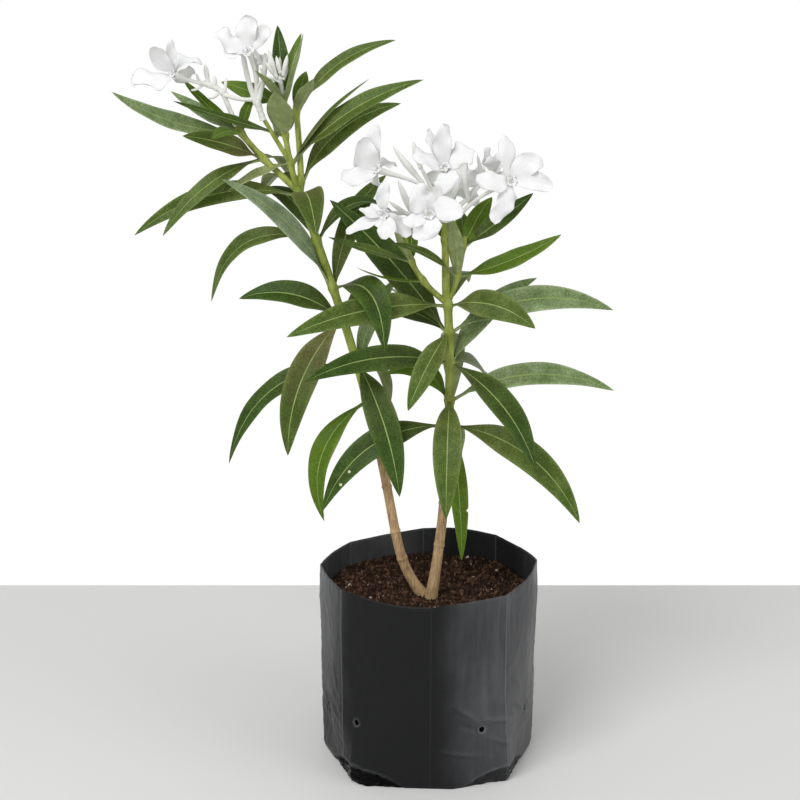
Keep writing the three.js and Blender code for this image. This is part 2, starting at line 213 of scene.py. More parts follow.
def settle(piece, nodes=()):
    for name in [a.name for a in piece.data.attributes if a.name in guideFields]:
        piece.data.attributes.remove(piece.data.attributes[name])
    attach(piece, "root")
    if nodes:
        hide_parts(*nodes)
    print(piece.name + ":", sum(len(p.vertices) - 2 for p in piece.data.polygons), "triangles")
    return piece


def lerp(low, high, share):
    return low + (high - low) * share


def smooth(value, low, high):
    share = min(1.0, max(0.0, (value - low) / (high - low)))
    return share * share * (3 - 2 * share)


def heading(bearing, lift=0.0):
    b, l = math.radians(bearing), math.radians(lift)
    return Vector((math.cos(b) * math.cos(l), math.sin(b) * math.cos(l), math.sin(l)))


def turned(vector, axis, degrees):
    return Matrix.Rotation(math.radians(degrees), 3, axis) @ vector


def bezier(points):
    # a curve through its guide points, which gives the place and the direction at a share along it
    guides = [Vector(point) for point in points]

    def at(along):
        left = guides
        while len(left) > 2:
            left = [a.lerp(b, along) for a, b in zip(left, left[1:])]
        return left[0].lerp(left[1], along), (left[1] - left[0]).normalized()

    return at


def roundSide(tangent, along):
    return tangent.cross(Vector((0, 1, 0))).normalized()


# Everything that grows is swept along guides: rows of points that carry their own width, thickness and turn.
guideFields = {
    "strand": "INT", "deal": "INT", "along": "FLOAT", "travel": "FLOAT",
    "centre": "FLOAT_VECTOR", "side": "FLOAT_VECTOR", "up": "FLOAT_VECTOR",
    "half": "FLOAT", "thick": "FLOAT", "fold": "FLOAT", "curl": "FLOAT", "ridge": "FLOAT",
    "waveLeft": "FLOAT", "waveRight": "FLOAT", "rough": "FLOAT",
    "order": "INT", "across": "FLOAT", "lift": "FLOAT", "rib": "FLOAT",
}


def pointCloud(name, rows, places):
    mesh = bpy.data.meshes.new(name)
    mesh.from_pydata(places, [], [])
    for field in rows[0]:
        kind = guideFields[field]
        values = [row[field] for row in rows]
        layer = mesh.attributes.new(field, kind, "POINT").data
        if kind == "FLOAT_VECTOR":
            layer.foreach_set("vector", [x for value in values for x in value])
        else:
            layer.foreach_set("value", values)
    return newObject(name, mesh)


barkGrain = {"Grain": 420.0, "Grain stretch": 0.32, "Seed height": 3.1}  # the furrows of what is rough


class Strands:
    blank = dict.fromkeys(("thick", "fold", "curl", "ridge", "waveLeft", "waveRight", "rough"), 0.0)

    def __init__(self):
        self.rows = []
        self.count = 0

    def add(self, route, stations, sideAt, sectionAt, deal=0):
        travel, last = 0.0, None
        for station in range(stations + 1):
            along = station / stations
            centre, tangent = route(along)
            side = sideAt(tangent, along)
            travel += (centre - last).length if last is not None else 0.0
            last = centre
            self.rows.append({
                **self.blank, **sectionAt(along), "strand": self.count, "deal": deal, "along": along,
                "travel": travel, "centre": centre, "side": side, "up": side.cross(tangent),
            })
        self.count += 1

    def sweep(self, name, section, coats):
        rows = [{"order": i, "across": a, "lift": z, "rib": r} for i, (a, z, r) in enumerate(section)]
        loop = pointCloud(name + "Section", rows, [(a, z, 0) for a, z, r in section])
        carrier = pointCloud(name + "Guides", self.rows, [row["centre"] for row in self.rows])
        made = grown(name, carrier, sweepTree(name, coats), {"Section": loop, **barkGrain})
        bpy.data.objects.remove(loop)
        return made


def sweepTree(name, coats):
    graph, inputs = growthTree(name + "Sweep", {
        "Section": "NodeSocketObject", **{label: "NodeSocketFloat" for label in barkGrain},
    })
    points = graph.add("GeometryNodeMeshToPoints", {}, [inputs["Geometry"]])
    feeds = [points, graph.across("strand", "INT"), graph.across("along")]
    routes = graph.add("GeometryNodePointsToCurves", {}, feeds)
    loop = graph.add("GeometryNodeObjectInfo", {}, [inputs["Section"]], "Geometry")
    loop = graph.add("GeometryNodeMeshToPoints", {}, [loop])
    loop = graph.add("GeometryNodePointsToCurves", {}, {"Points": loop, "Weight": graph.across("order")})
    loop = graph.add("GeometryNodeSetSplineCyclic", {}, {"Geometry": loop, "Cyclic": True})
    skin = graph.add("GeometryNodeCurveToMesh", {}, {"Curve": routes, "Profile Curve": loop, "Fill Caps": True})

    across, lift, half = graph.across("across"), graph.across("lift"), graph.across("half")
    centre = graph.across("centre", "FLOAT_VECTOR")
    reach, right = abs(across), across > 0.0
    wave = graph.across("waveRight") * right + graph.across("waveLeft") * (1.0 - right)
    height = lift * graph.across("thick") + graph.across("rib") * graph.across("ridge")
    height = height + reach * half * graph.across("fold") + reach * reach * (wave - half * graph.across("curl"))
    offset = graph.across("side", "FLOAT_VECTOR") * (across * half) + graph.across("up", "FLOAT_VECTOR") * height
    # bark: furrows along the limb, pushed straight out from its middle
    onward = graph.across("travel") * inputs["Grain stretch"] + inputs["Seed height"]
    furrows = graph.noise(offset + graph.joined(0.0, 0.0, onward), inputs["Grain"], 2.0) - 0.5
    outward = graph.add("ShaderNodeVectorMath", {"operation": "NORMALIZE"}, [offset])
    place = centre + offset + outward * (furrows * graph.across("rough"))
    skin = graph.add("GeometryNodeSetPosition", {}, {"Geometry": skin, "Position": place})

    skin = graph.add("GeometryNodeSetShadeSmooth", {}, [skin])
    sheet = graph.joined(across * 0.5 + 0.5, graph.across("along"), 0.0)
    skin = graph.stored(skin, "UVMap", "FLOAT2", "CORNER", sheet)
    spread = graph.joined(across * half, graph.across("travel"), 0.0)
    skin = graph.stored(skin, "spread", "FLOAT_VECTOR", "POINT", spread)
    skin = graph.add("GeometryNodeRealizeInstances", {}, [skin])
    for coat, chosen in coats:
        feeds = {"Geometry": skin, "Material": coat}
        if chosen is not None:
            feeds["Selection"] = chosen(graph)
        skin = graph.add("GeometryNodeSetMaterial", {}, feeds)
    graph.add("NodeGroupOutput", {}, [skin])
    return graph


def dealt(number):
    return lambda graph: graph.across("deal") > number - 0.5


def roundSection(count):
    angles = [2 * math.pi * i / count for i in range(count)]
    return [(math.cos(a), math.sin(a), 0.0) for a in angles]


# camera, floor and light, all in metres
stage = {
    "eye": (-0.0253, -1.203, 0.641), "pitch": 75, "lens": 65.9,
    "floorBack": 0.367, "floorFront": -6.0, "floorSide": 6.0, "floorColour": (0.80, 0.80, 0.79),
    "floorRoughness": 0.55,
    "lamps": [
        # place, size, power, aimed at
        ((-1.1, -1.5, 2.3), 1.3, 40, (0, 0, 0.3)),
        ((1.7, -0.9, 1.3), 1.2, 8, (0, 0, 0.25)),
    ],
    "sky": (0.10, 0.50, 0.45),  # the white backdrop ends at this slope, and the dimmer ceiling starts at the next
}


def setStage():
    camera = newObject("camera", bpy.data.cameras.new("camera"))
    camera.location = stage["eye"]
    camera.rotation_euler = (math.radians(stage["pitch"]), 0, 0)
    camera.data.lens = stage["lens"]
    camera.data.clip_start = 0.01
    bpy.context.scene.camera = camera
    bpy.context.scene.view_settings.view_transform = "Standard"

    side, front, back = stage["floorSide"], stage["floorFront"], stage["floorBack"]
    corners = [(-side, front, 0), (side, front, 0), (side, back, 0), (-side, back, 0)]
    mesh = bpy.data.meshes.new("floor")
    mesh.from_pydata(corners, [], [(0, 1, 2, 3)])
    floor = newObject("floor", mesh)
    paint = {"Base Color": (*stage["floorColour"], 1.0), "Roughness": stage["floorRoughness"]}
    mesh.materials.append(finish("floorPaint", paint, lambda graph: {}))

    world = bpy.data.worlds.new("softRoom")
    bpy.context.scene.world = world
    world.use_nodes = True
    world.node_tree.nodes.clear()
    graph = Graph(world.node_tree)
    slope = graph.part(graph.add("ShaderNodeTexCoord", {}, (), "Generated"), "Z")
    low, high, ceiling = stage["sky"]
    shade = graph.colours((1.0, 1.0, 1.0), (ceiling,) * 3, slope.within(low, high))
    graph.add("ShaderNodeOutputWorld", {}, {"Surface": graph.add("ShaderNodeBackground", {}, [shade, 1.0])})
    for place, size, power, target in stage["lamps"]:
        data = bpy.data.lights.new("softbox", "AREA")
        data.size = size
        data.energy = power
        lamp = newObject("softbox", data)
        lamp.location = place
        lamp.rotation_euler = (Vector(target) - Vector(place)).to_track_quat("-Z", "Y").to_euler()


# finishes
leafMarks = {
    # pale blemishes on one leaf
    "specks": [(-67.6, -32.1, 264.9), (-74.9, -33.9, 254.1)], "speckRadius": 1.7, "speckColour": (0.70, 0.68, 0.48),
    # leaves with a bite out of the margin: share along the leaf, depth, and width as a share of the length
    "bites": {("right_leaves_1", 2): (0.63, 1.8, 0.009)}, "biteStations": 120,
    "brown": ((0.080, 0.080, 0.020), (0.250, 0.245, 0.095)),
}


def leafTop(name, deep, light, gloss, browning):
    def build(graph):
        sheet, spread = graph.sheet(), graph.attribute("spread", "Vector")
        across, outwards = abs(graph.part(sheet, "X") - 0.5) * 2.0, graph.part(sheet, "Y")
        aside, onward = graph.part(spread, "X"), graph.part(spread, "Y")
        mottle = graph.noise(graph.place(), 75.0, 4.0)
        specks = graph.noise(graph.place(), 620.0, 3.0, 0.75)
        veins = ((onward - abs(aside) * blade["veinLean"]) * (2 * math.pi / (blade["veinStep"] * mm))).sine()
        patchy = (mottle * 0.7 + specks * 1.1 + across ** 6 * 0.35 + veins * 0.03 - 0.58).within(0.05, 0.9)
        brown = graph.colours(*leafMarks["brown"], patchy)
        foot = (outwards + (mottle - 0.5) * 0.8).within(0.75, 0.1)
        colour = graph.colours(graph.colours(deep, light, patchy), brown, foot * browning)
        for spot in leafMarks["specks"]:
            reach = graph.place() - tuple(Vector(spot) * mm)
            away = graph.add("ShaderNodeVectorMath", {"operation": "LENGTH"}, [reach])
            pale = away.within(leafMarks["speckRadius"] * mm, leafMarks["speckRadius"] * 0.6 * mm)
            colour = graph.colours(colour, leafMarks["speckColour"], pale * 0.9)
        return {"Base Color": colour, "Roughness": mottle * 0.2 + gloss,
                "Normal": graph.bump(veins * 0.4 + specks * 0.6, 0.0001, 0.5)}
    return finish(name, {"Specular IOR Level": 0.15}, build)


def leafPlain(name, dark, light, rough):
    def build(graph):
        mottle = graph.noise(graph.place(), 140.0, 3.0) * 0.7 + graph.noise(graph.place(), 900.0, 2.0) * 0.3
        return {"Base Color": graph.colours(dark, light, mottle.within(0.3, 0.7)),
                "Roughness": mottle * 0.2 + rough}
    return finish(name, {"Specular IOR Level": 0.3}, build)


leafTints = {  # dark and light shade of the upper face, its roughness, and how brown it is towards the foot
    "deepLeaf": ((0.018, 0.045, 0.003), (0.086, 0.150, 0.026), 0.38, 0.25),
    "middleLeaf": ((0.044, 0.084, 0.007), (0.172, 0.238, 0.062), 0.38, 0.3),
    "freshLeaf": ((0.055, 0.115, 0.004), (0.145, 0.235, 0.022), 0.38, 0.1),
    # a paler, greyer copy of a green top: painted sheen of white light on the glossy face
    "frostyLeaf": ((0.098, 0.155, 0.050), (0.355, 0.450, 0.235), 0.36, 0.2),
    "brownLeaf": ((0.037, 0.068, 0.006), (0.124, 0.175, 0.038), 0.42, 1.0),
    "paleLeaf": ((0.200, 0.245, 0.088), (0.415, 0.475, 0.235), 0.48, 0.2),
    # greyer still: a stronger painted sheen
    "silverLeaf": ((0.120, 0.175, 0.085), (0.370, 0.455, 0.275), 0.36, 0.0),
}
tintNames = list(leafTints)
plainTones = {  # dark and light shade, and the roughness
    "Underside": ((0.20, 0.255, 0.090), (0.34, 0.405, 0.180), 0.5),
    "Midrib": ((0.20, 0.28, 0.07), (0.31, 0.40, 0.13), 0.42),
}
# one leaf in five takes the tint with painted sheen
usualTints = ["deepLeaf", "deepLeaf", "middleLeaf", "middleLeaf", "frostyLeaf"]
leafPicks = {  # leaves that show a tint of their own, by their whorl and their row in it
    "left_leaves_1": {0: "freshLeaf"},
    "left_leaves_2": {0: "deepLeaf", 1: "deepLeaf"},
    "left_leaves_3": {0: "brownLeaf"},
    "left_leaves_4": {0: "deepLeaf", 1: "silverLeaf"},
    "left_leaves_6": {0: "middleLeaf", 1: "brownLeaf"},
    "left_leaves_side_1": {0: "brownLeaf", 1: "middleLeaf"},
    "left_leaves_side_2": {0: "frostyLeaf"},
    "left_leaves_middle_1": {0: "paleLeaf", 2: "middleLeaf"},
    "left_leaves_middle_2": {0: "paleLeaf"},
    "left_leaves_right": {0: "paleLeaf", 1: "middleLeaf"},
    "right_leaves_1": {0: "deepLeaf", 1: "middleLeaf", 2: "freshLeaf"},
    "right_leaves_2": {0: "middleLeaf", 2: "frostyLeaf"},
    "right_leaves_4": {1: "deepLeaf", 3: "frostyLeaf"},
    "right_leaves_5": {1: "middleLeaf"},
    "right_leaves_right_1": {0: "paleLeaf", 1: "freshLeaf"},
}


# leaves
limbSizes = {  # four guide points of each tapering curve, then its radius at the foot and at the tip
    "left_stem": [(-2, -7, 140), (-48, -8, 195), (-9, -4, 221), (-110, 4, 499), 4.6, 3.4],
    "right_stem": [(1, -15.5, 140), (19, -11, 249), (18, -12, 339), (14, -12, 410), 4.4, 3.5],
    "left_bough_side": [(-108, 4, 494), (-119, 4, 506), (-143, 4, 524), (-158, 3, 548), 2.9, 2.4],
    "left_bough_middle": [(-110, 4, 494), (-113, 4, 513), (-122, 4, 540), (-119, 4, 574), 2.7, 2.0],
    "left_bough_thin": [(-115, 3, 518), (-121, 1, 530), (-129, 0, 542), (-136, 0, 555), 2.0, 1.7],
    "left_bough_right": [(-107, 5, 494), (-106, 9, 515), (-109, 10, 545), (-110, 10, 568), 2.7, 2.3],
    "right_bough_side": [(12, -12, 406), (0, -12, 416), (-18, -12, 430), (-22, -11, 464), 2.6, 2.0],
    "right_bough_middle": [(13, -12, 406), (12, -12, 430), (12, -12, 452), (11, -12, 474), 3.4, 2.7],
    "right_bough_right": [(15, -12, 406), (20, -11, 418), (25, -10, 432), (28, -9, 460), 2.2, 1.8],
}
# Each whorl sits on a limb at a height. A leaf row gives its bearing, the reach and rise of its tip, the bow of
# its middle, its width and how many degrees its upper face turns to the front.
whorlSizes = {
    "left_leaves_1": ["left_stem", 318, [(213, 42, -99, 24, 21, 30), (87, 87, -60, 21, 21, -11)]],
    "left_leaves_2": ["left_stem", 350, [
        (306, 59, -101, 10, 27, 42), (186, 108, -84, 27, 22, 38), (50, 50, 67, 8, 17, 14), (60, 52, -50, 16, 16, 0)]],
    "left_leaves_3": ["left_stem", 388, [
        (220, 58, -107, 16, 27, 44), (173, 87, 16, 13, 24, 47), (62, 103, 0, 19, 22, 18)]],
    "left_leaves_4": ["left_stem", 415, [
        (309, 67, -42, 28, 27, 28), (201, 90, 94, 12, 22, 51), (58, 81, 86, 17, 19, 35)]],
    "left_leaves_5": ["left_stem", 455, [
        (173, 89, -54, 27, 18, 51), (35, 82, 12, 22, 17, 20), (125, 108, 27, 20, 20, -15)]],
    "left_leaves_6": ["left_stem", 492, [
        (186, 134, -31, 17, 18, 75), (283, 74, -23, 15, 26, -15), (114, 97, -11, 17, 21, 0)]],
    "left_leaves_side_1": ["left_bough_side", 522, [
        (210, 68, 21, 3, 20, 58), (201, 84, -59, 10, 16, 48), (78, 77, -25, 8, 16, -8)]],
    "left_leaves_side_2": ["left_bough_side", 543, [
        (198, 101, 34, -8, 18, 51), (152, 67, 31, -1, 12, 46), (170, 47, 43, -2, 11, 38), (66, 24, 30, 3, 11, 0),
        (255, 61, 0, 3, 13, 31)]],
    "left_leaves_middle_1": ["left_bough_middle", 518, [
        (190, 51, -22, 3, 10, 41), (4, 63, 67, 5, 11, -15), (358, 107, 67, 10, 20, 49)]],
    "left_leaves_middle_2": ["left_bough_middle", 541, [
        (262, 35, 36, 1, 23, 4), (191, 88, 28, -1, 12, 32), (101, 62, -9, 11, 14, 0)]],
    "left_leaves_middle_3": ["left_bough_middle", 565, [
        (330, 19, 56, -1, 11, 6), (102, 26, 62, 2, 15, 2), (47, 20, 56, 3, 12, -12), (228, 29, 28, 2, 14, 0),
        (157, 56, 17, 1, 16, 60)]],
    "left_leaves_right": ["left_bough_right", 560, [
        (293, 41, 27, 1, 13, 0), (353, 80, 56, 11, 15, 52), (78, 30, 30, 3, 13, -13)]],
    "left_leaves_fork": ["left_bough_right", 503, [(20, 86, 61, 14, 18, 77)]],
    "right_leaves_1": ["right_stem", 300, [
        (192, 107, -69, 23, 25, 54), (346, 111, -78, 20, 26, 73), (291, 28, -111, 7, 16, -14),
        (84, 86, -66, 11, 22, 7)]],
    "right_leaves_2": ["right_stem", 322, [
        (266, 56, -86, 19, 25, 6), (156, 57, 16, 16, 18, 58), (0, 136, 8, 18, 22, 51)]],
    "right_leaves_3": ["right_stem", 354, [
        (332, 78, -81, 12, 27, 30), (197, 122, -7, 12, 22, 80), (64, 108, -58, 13, 23, 41), (30, 85, 64, 12, 19, 51)]],
    "right_leaves_4": ["right_stem", 380, [
        (233, 55, -55, 4, 20, 38), (166, 100, 107, 5, 27, 69), (145, 84, 8, 10, 21, 38), (8, 138, 15, 19, 23, 73),
        (84, 47, -72, 20, 22, -5)]],
    "right_leaves_5": ["right_stem", 403, [
        (199, 136, -17, 9, 24, 68), (333, 76, -12, 10, 24, 73), (79, 116, -2, 18, 20, 13)]],
    "right_leaves_side_1": ["right_bough_side", 424, [(206, 58, 15, -4, 10, 8)]],
    "right_leaves_side_2": ["right_bough_side", 440, [
        (187, 67, 21, -1, 12, 31), (223, 17, 34, -3, 11, 0), (90, 44, 30, 4, 12, 2)]],
    "right_leaves_middle": ["right_bough_middle", 458, [(134, 22, 26, 0, 13, 0), (77, 74, 4, 4, 15, 0)]],
    "right_leaves_right_1": ["right_bough_right", 427, [
        (253, 21, 52, 4, 14, 0), (3, 84, 34, -4, 17, 50), (208, 61, 32, 5, 12, 40)]],
    "right_leaves_right_2": ["right_bough_right", 452, [
        (11, 57, 42, -1, 17, 53), (53, 40, 36, 3, 17, 30), (92, 36, 24, 4, 13, 0)]],
}
blade = {
    "stations": 30, "petiole": 1.3, "petioleShare": 0.06, "thickness": 0.26, "twistShare": 0.3,
    "fold": (0.10, 0.34), "curl": (0.0, 0.10), "wave": (0.2, 0.9), "waves": (1.6, 3.4), "youngLength": 66,
    "veinStep": 2.1, "veinLean": 0.55,
}
bladeSection = [  # share of the half width, share of the thickness, share of the midrib's height
    (-1.0, 0.0, 0), (-0.96, 0.7, 0), (-0.8, 1, 0), (-0.58, 1, 0), (-0.34, 1, 0), (-0.13, 1, 0.05),
    (-0.04, 1, 0.02), (0.0, 0.6, -0.12), (0.04, 1, 0.02), (0.13, 1, 0.05), (0.34, 1, 0), (0.58, 1, 0), (0.8, 1, 0),
    (0.96, 0.7, 0), (1.0, 0.0, 0), (0.8, -1, 0), (0.45, -1, 0), (0.12, -1, -0.1), (0.05, -1, -0.75), (0.0, -1, -1),
    (-0.05, -1, -0.75), (-0.12, -1, -0.1), (-0.45, -1, 0), (-0.8, -1, 0),
]


def limbRadius(name, along):
    foot, tip = limbSizes[name][4:]
    flare = limbSkin["flare"] * max(0.0, 1 - along / limbSkin["flareShare"]) ** 2 if name.endswith("stem") else 0.0
    return lerp(foot, tip, along) + flare


def limbRoute(name):
    return bezier([Vector(point) * mm for point in limbSizes[name][:4]])


def limbShareAt(name, height):
    route = limbRoute(name)
    low, high = 0.0, 1.0
    for step in range(30):
        middle = (low + high) / 2
        if route(middle)[0].z < height * mm:
            low = middle
        else:
            high = middle
    return low


def bladeHalf(along, width):
    if along < blade["petioleShare"]:
        return blade["petiole"]
    share = (along - blade["petioleShare"]) / (1 - blade["petioleShare"])
    lance = max(0.0, math.sin(math.pi * share ** 0.85)) ** 0.8
    return blade["petiole"] * (1 - share) ** 3 + 0.12 + (width / 2 - blade["petiole"] / 2) * lance


def addLeaf(strands, root, row, deal, chance, bite):
    bearing, reach, rise, bow, width, facing = row
    out = heading(bearing)
    tip = root + (out * reach + Vector((0, 0, rise))) * mm
    length = math.hypot(reach, rise)
    arch = out * (-2 * bow * rise / length) + Vector((0, 0, 2 * bow * reach / length))
    guide = root.lerp(tip, 0.5) + arch * mm
    level = out.cross(Vector((0, 0, 1)))
    turn = math.copysign(facing, math.cos(math.radians(bearing)))
    small = min(1.0, length / 110)
    fold, curl = chance.uniform(*blade["fold"]), chance.uniform(*blade["curl"])
    wave, waves = chance.uniform(*blade["wave"]) * small, chance.uniform(*blade["waves"])
    phases = [chance.uniform(0, 2 * math.pi) for side in range(2)]
    middle = bezier([root, guide, tip])

    def biteAt(along):
        return bite[1] * math.exp(-((along - bite[0]) / bite[2]) ** 2) if bite else 0.0

    def sideAt(tangent, along):
        return turned(level, tangent, turn * smooth(along, 0, blade["twistShare"] * 1.2))

    def route(along):
        spot, tangent = middle(along)
        return spot + sideAt(tangent, along) * biteAt(along) / 2 * mm, tangent

    def sectionAt(along):
        swell, foot = math.sin(math.pi * along), 1 - smooth(along, 0.0, 0.1)
        thin = (0.6 + 0.4 * small) * min(1.0, 4 * (1 - along) + 0.25)
        ripple = [wave * swell * math.sin(2 * math.pi * waves * along + phase) * mm for phase in phases]
        return {
            "half": (bladeHalf(along, width) + foot * 0.6 - biteAt(along) / 2) * mm,
            "thick": (blade["thickness"] * thin + foot * 0.5) * mm,
            "ridge": lerp(1.5, 0.15, along ** 0.7) * (0.5 + 0.5 * small) * mm,
            "fold": fold * swell ** 0.7, "curl": curl * swell, "waveLeft": ripple[0], "waveRight": ripple[1],
        }

    strands.add(route, leafMarks["biteStations"] if bite else blade["stations"], sideAt, sectionAt, deal)


def makeLeaves(name, start, seed):
    chance = random.Random(seed)
    strands = Strands()
    for whorl, (limb, height, rows) in whorlSizes.items():
        if not whorl.startswith(start):
            continue
        share = limbShareAt(limb, height)
        centre = limbRoute(limb)(share)[0]
        radius = limbRadius(limb, share)
        for i, row in enumerate(rows):
            young = math.hypot(row[1], row[2]) < blade["youngLength"]
            tint = leafPicks.get(whorl, {}).get(i, "freshLeaf" if young else chance.choice(usualTints))
            root = centre + heading(row[0]) * (radius * 0.55) * mm
            addLeaf(strands, root, row, tintNames.index(tint), chance, leafMarks["bites"].get((whorl, i)))
    underside, midrib = [leafPlain(name + part, *tones) for part, tones in plainTones.items()]
    tops = [leafTop(name + tint[0].upper() + tint[1:], *shades) for tint, shades in leafTints.items()]
    coats = [(top, dealt(i) if i else None) for i, top in enumerate(tops)]
    coats.append((underside, lambda graph: graph.across("lift") < -0.3))
    coats.append((midrib, lambda graph: 0.035 > abs(graph.across("across"))))
    piece = strands.sweep(name, bladeSection, coats)
    return settle(piece, nodesNamed(start + "_leaves"))


# stems and boughs
limbSkin = {
    "facets": 24, "step": 1.1, "flare": 1.6, "flareShare": 0.16,
    "bark": 0.2, "shoot": 0.15, "woody": (280, 400),  # how rough bark and green shoots are, and where bark gives way
    "scars": {"left_stem": [178, 203, 243, 278], "right_stem": [193, 231, 266]},
    "ring": 0.6, "ringWidth": 1.3, "collar": 1.1, "collarWidth": 3.4,
    # dark and light shade of the old bark, of the band above it and of the green top of a stem, then of the boughs
    "tan": ((0.19, 0.112, 0.045), (0.64, 0.44, 0.235)), "olive": ((0.17, 0.165, 0.035), (0.34, 0.33, 0.09)),
    "green": ((0.15, 0.20, 0.020), (0.33, 0.385, 0.075)), "shoots": ((0.16, 0.205, 0.020), (0.35, 0.40, 0.080)),
    "oliveFrom": (245, 300), "greenFrom": (285, 350),
}


def addLimb(strands, name):
    route = limbRoute(name)
    foot, tip = Vector(limbSizes[name][0]), Vector(limbSizes[name][3])
    stem = name.endswith("stem")
    stations = round((tip - foot).length / limbSkin["step"])
    scars = limbSkin["scars"].get(name, [])
    collars = [height for limb, height, rows in whorlSizes.values() if limb == name]

    def sectionAt(along):
        height = route(along)[0].z / mm
        radius = limbRadius(name, along)
        for level in scars:
            radius += limbSkin["ring"] * math.exp(-((height - level) / limbSkin["ringWidth"]) ** 2)
        for level in collars:
            radius += limbSkin["collar"] * math.exp(-((height - level) / limbSkin["collarWidth"]) ** 2)
        woody = (1 - smooth(height, *limbSkin["woody"])) if stem else 0.0
        rough = lerp(limbSkin["shoot"], limbSkin["bark"], woody)
        return {"half": radius * mm, "thick": radius * mm, "rough": rough * mm}

    strands.add(route, stations, roundSide, sectionAt)


def barkFinish():
    def build(graph):
        height = graph.part(graph.place(), "Z")
        streaks = graph.noise(graph.place((1.0, 1.0, 0.12)), 900.0, 5.0, 0.65)
        blotches = graph.noise(graph.place((1.0, 1.0, 0.5)), 120.0, 4.0)
        wearAndPaintedLight = (streaks * 0.7 + blotches * 0.4).within(0.32, 0.75)
        tan = graph.colours(*limbSkin["tan"], wearAndPaintedLight)
        olive = graph.colours(*limbSkin["olive"], streaks.within(0.35, 0.7))
        green = graph.colours(*limbSkin["green"], blotches.within(0.3, 0.7))
        wander = height + (blotches - 0.5) * 0.05 + (streaks - 0.5) * 0.03
        colour = graph.colours(tan, olive, wander.within(*[level * mm for level in limbSkin["oliveFrom"]]))
        colour = graph.colours(colour, green, wander.within(*[level * mm for level in limbSkin["greenFrom"]]))
        rough = 0.75 - height.within(0.28, 0.40) * 0.3
        return {"Base Color": colour, "Roughness": rough, "Normal": graph.bump(streaks, 0.0004, 0.4)}
    return finish("stemBark", {"Specular IOR Level": 0.35}, build)


def shootFinish():
    def build(graph):
        streaks = graph.noise(graph.place((1.0, 1.0, 0.3)), 260.0, 3.0)
        colour = graph.colours(*limbSkin["shoots"], streaks.within(0.3, 0.7))
        return {"Base Color": colour, "Roughness": streaks * 0.2 + 0.35, "Normal": graph.bump(streaks, 0.0002, 0.5)}
    return finish("greenShoot", {"Specular IOR Level": 0.4}, build)


def makeLimbs():
    stems, boughs = Strands(), Strands()
    for name in limbSizes:
        addLimb(stems if name.endswith("stem") else boughs, name)
    section = roundSection(limbSkin["facets"])
    settle(stems.sweep("stems", section, [(barkFinish(), None)]), ["left_stem", "right_stem"])
    boughNodes = [name for name in nodeNames if "bough" in name]
    settle(boughs.sweep("boughs", section, [(shootFinish(), None)]), boughNodes)


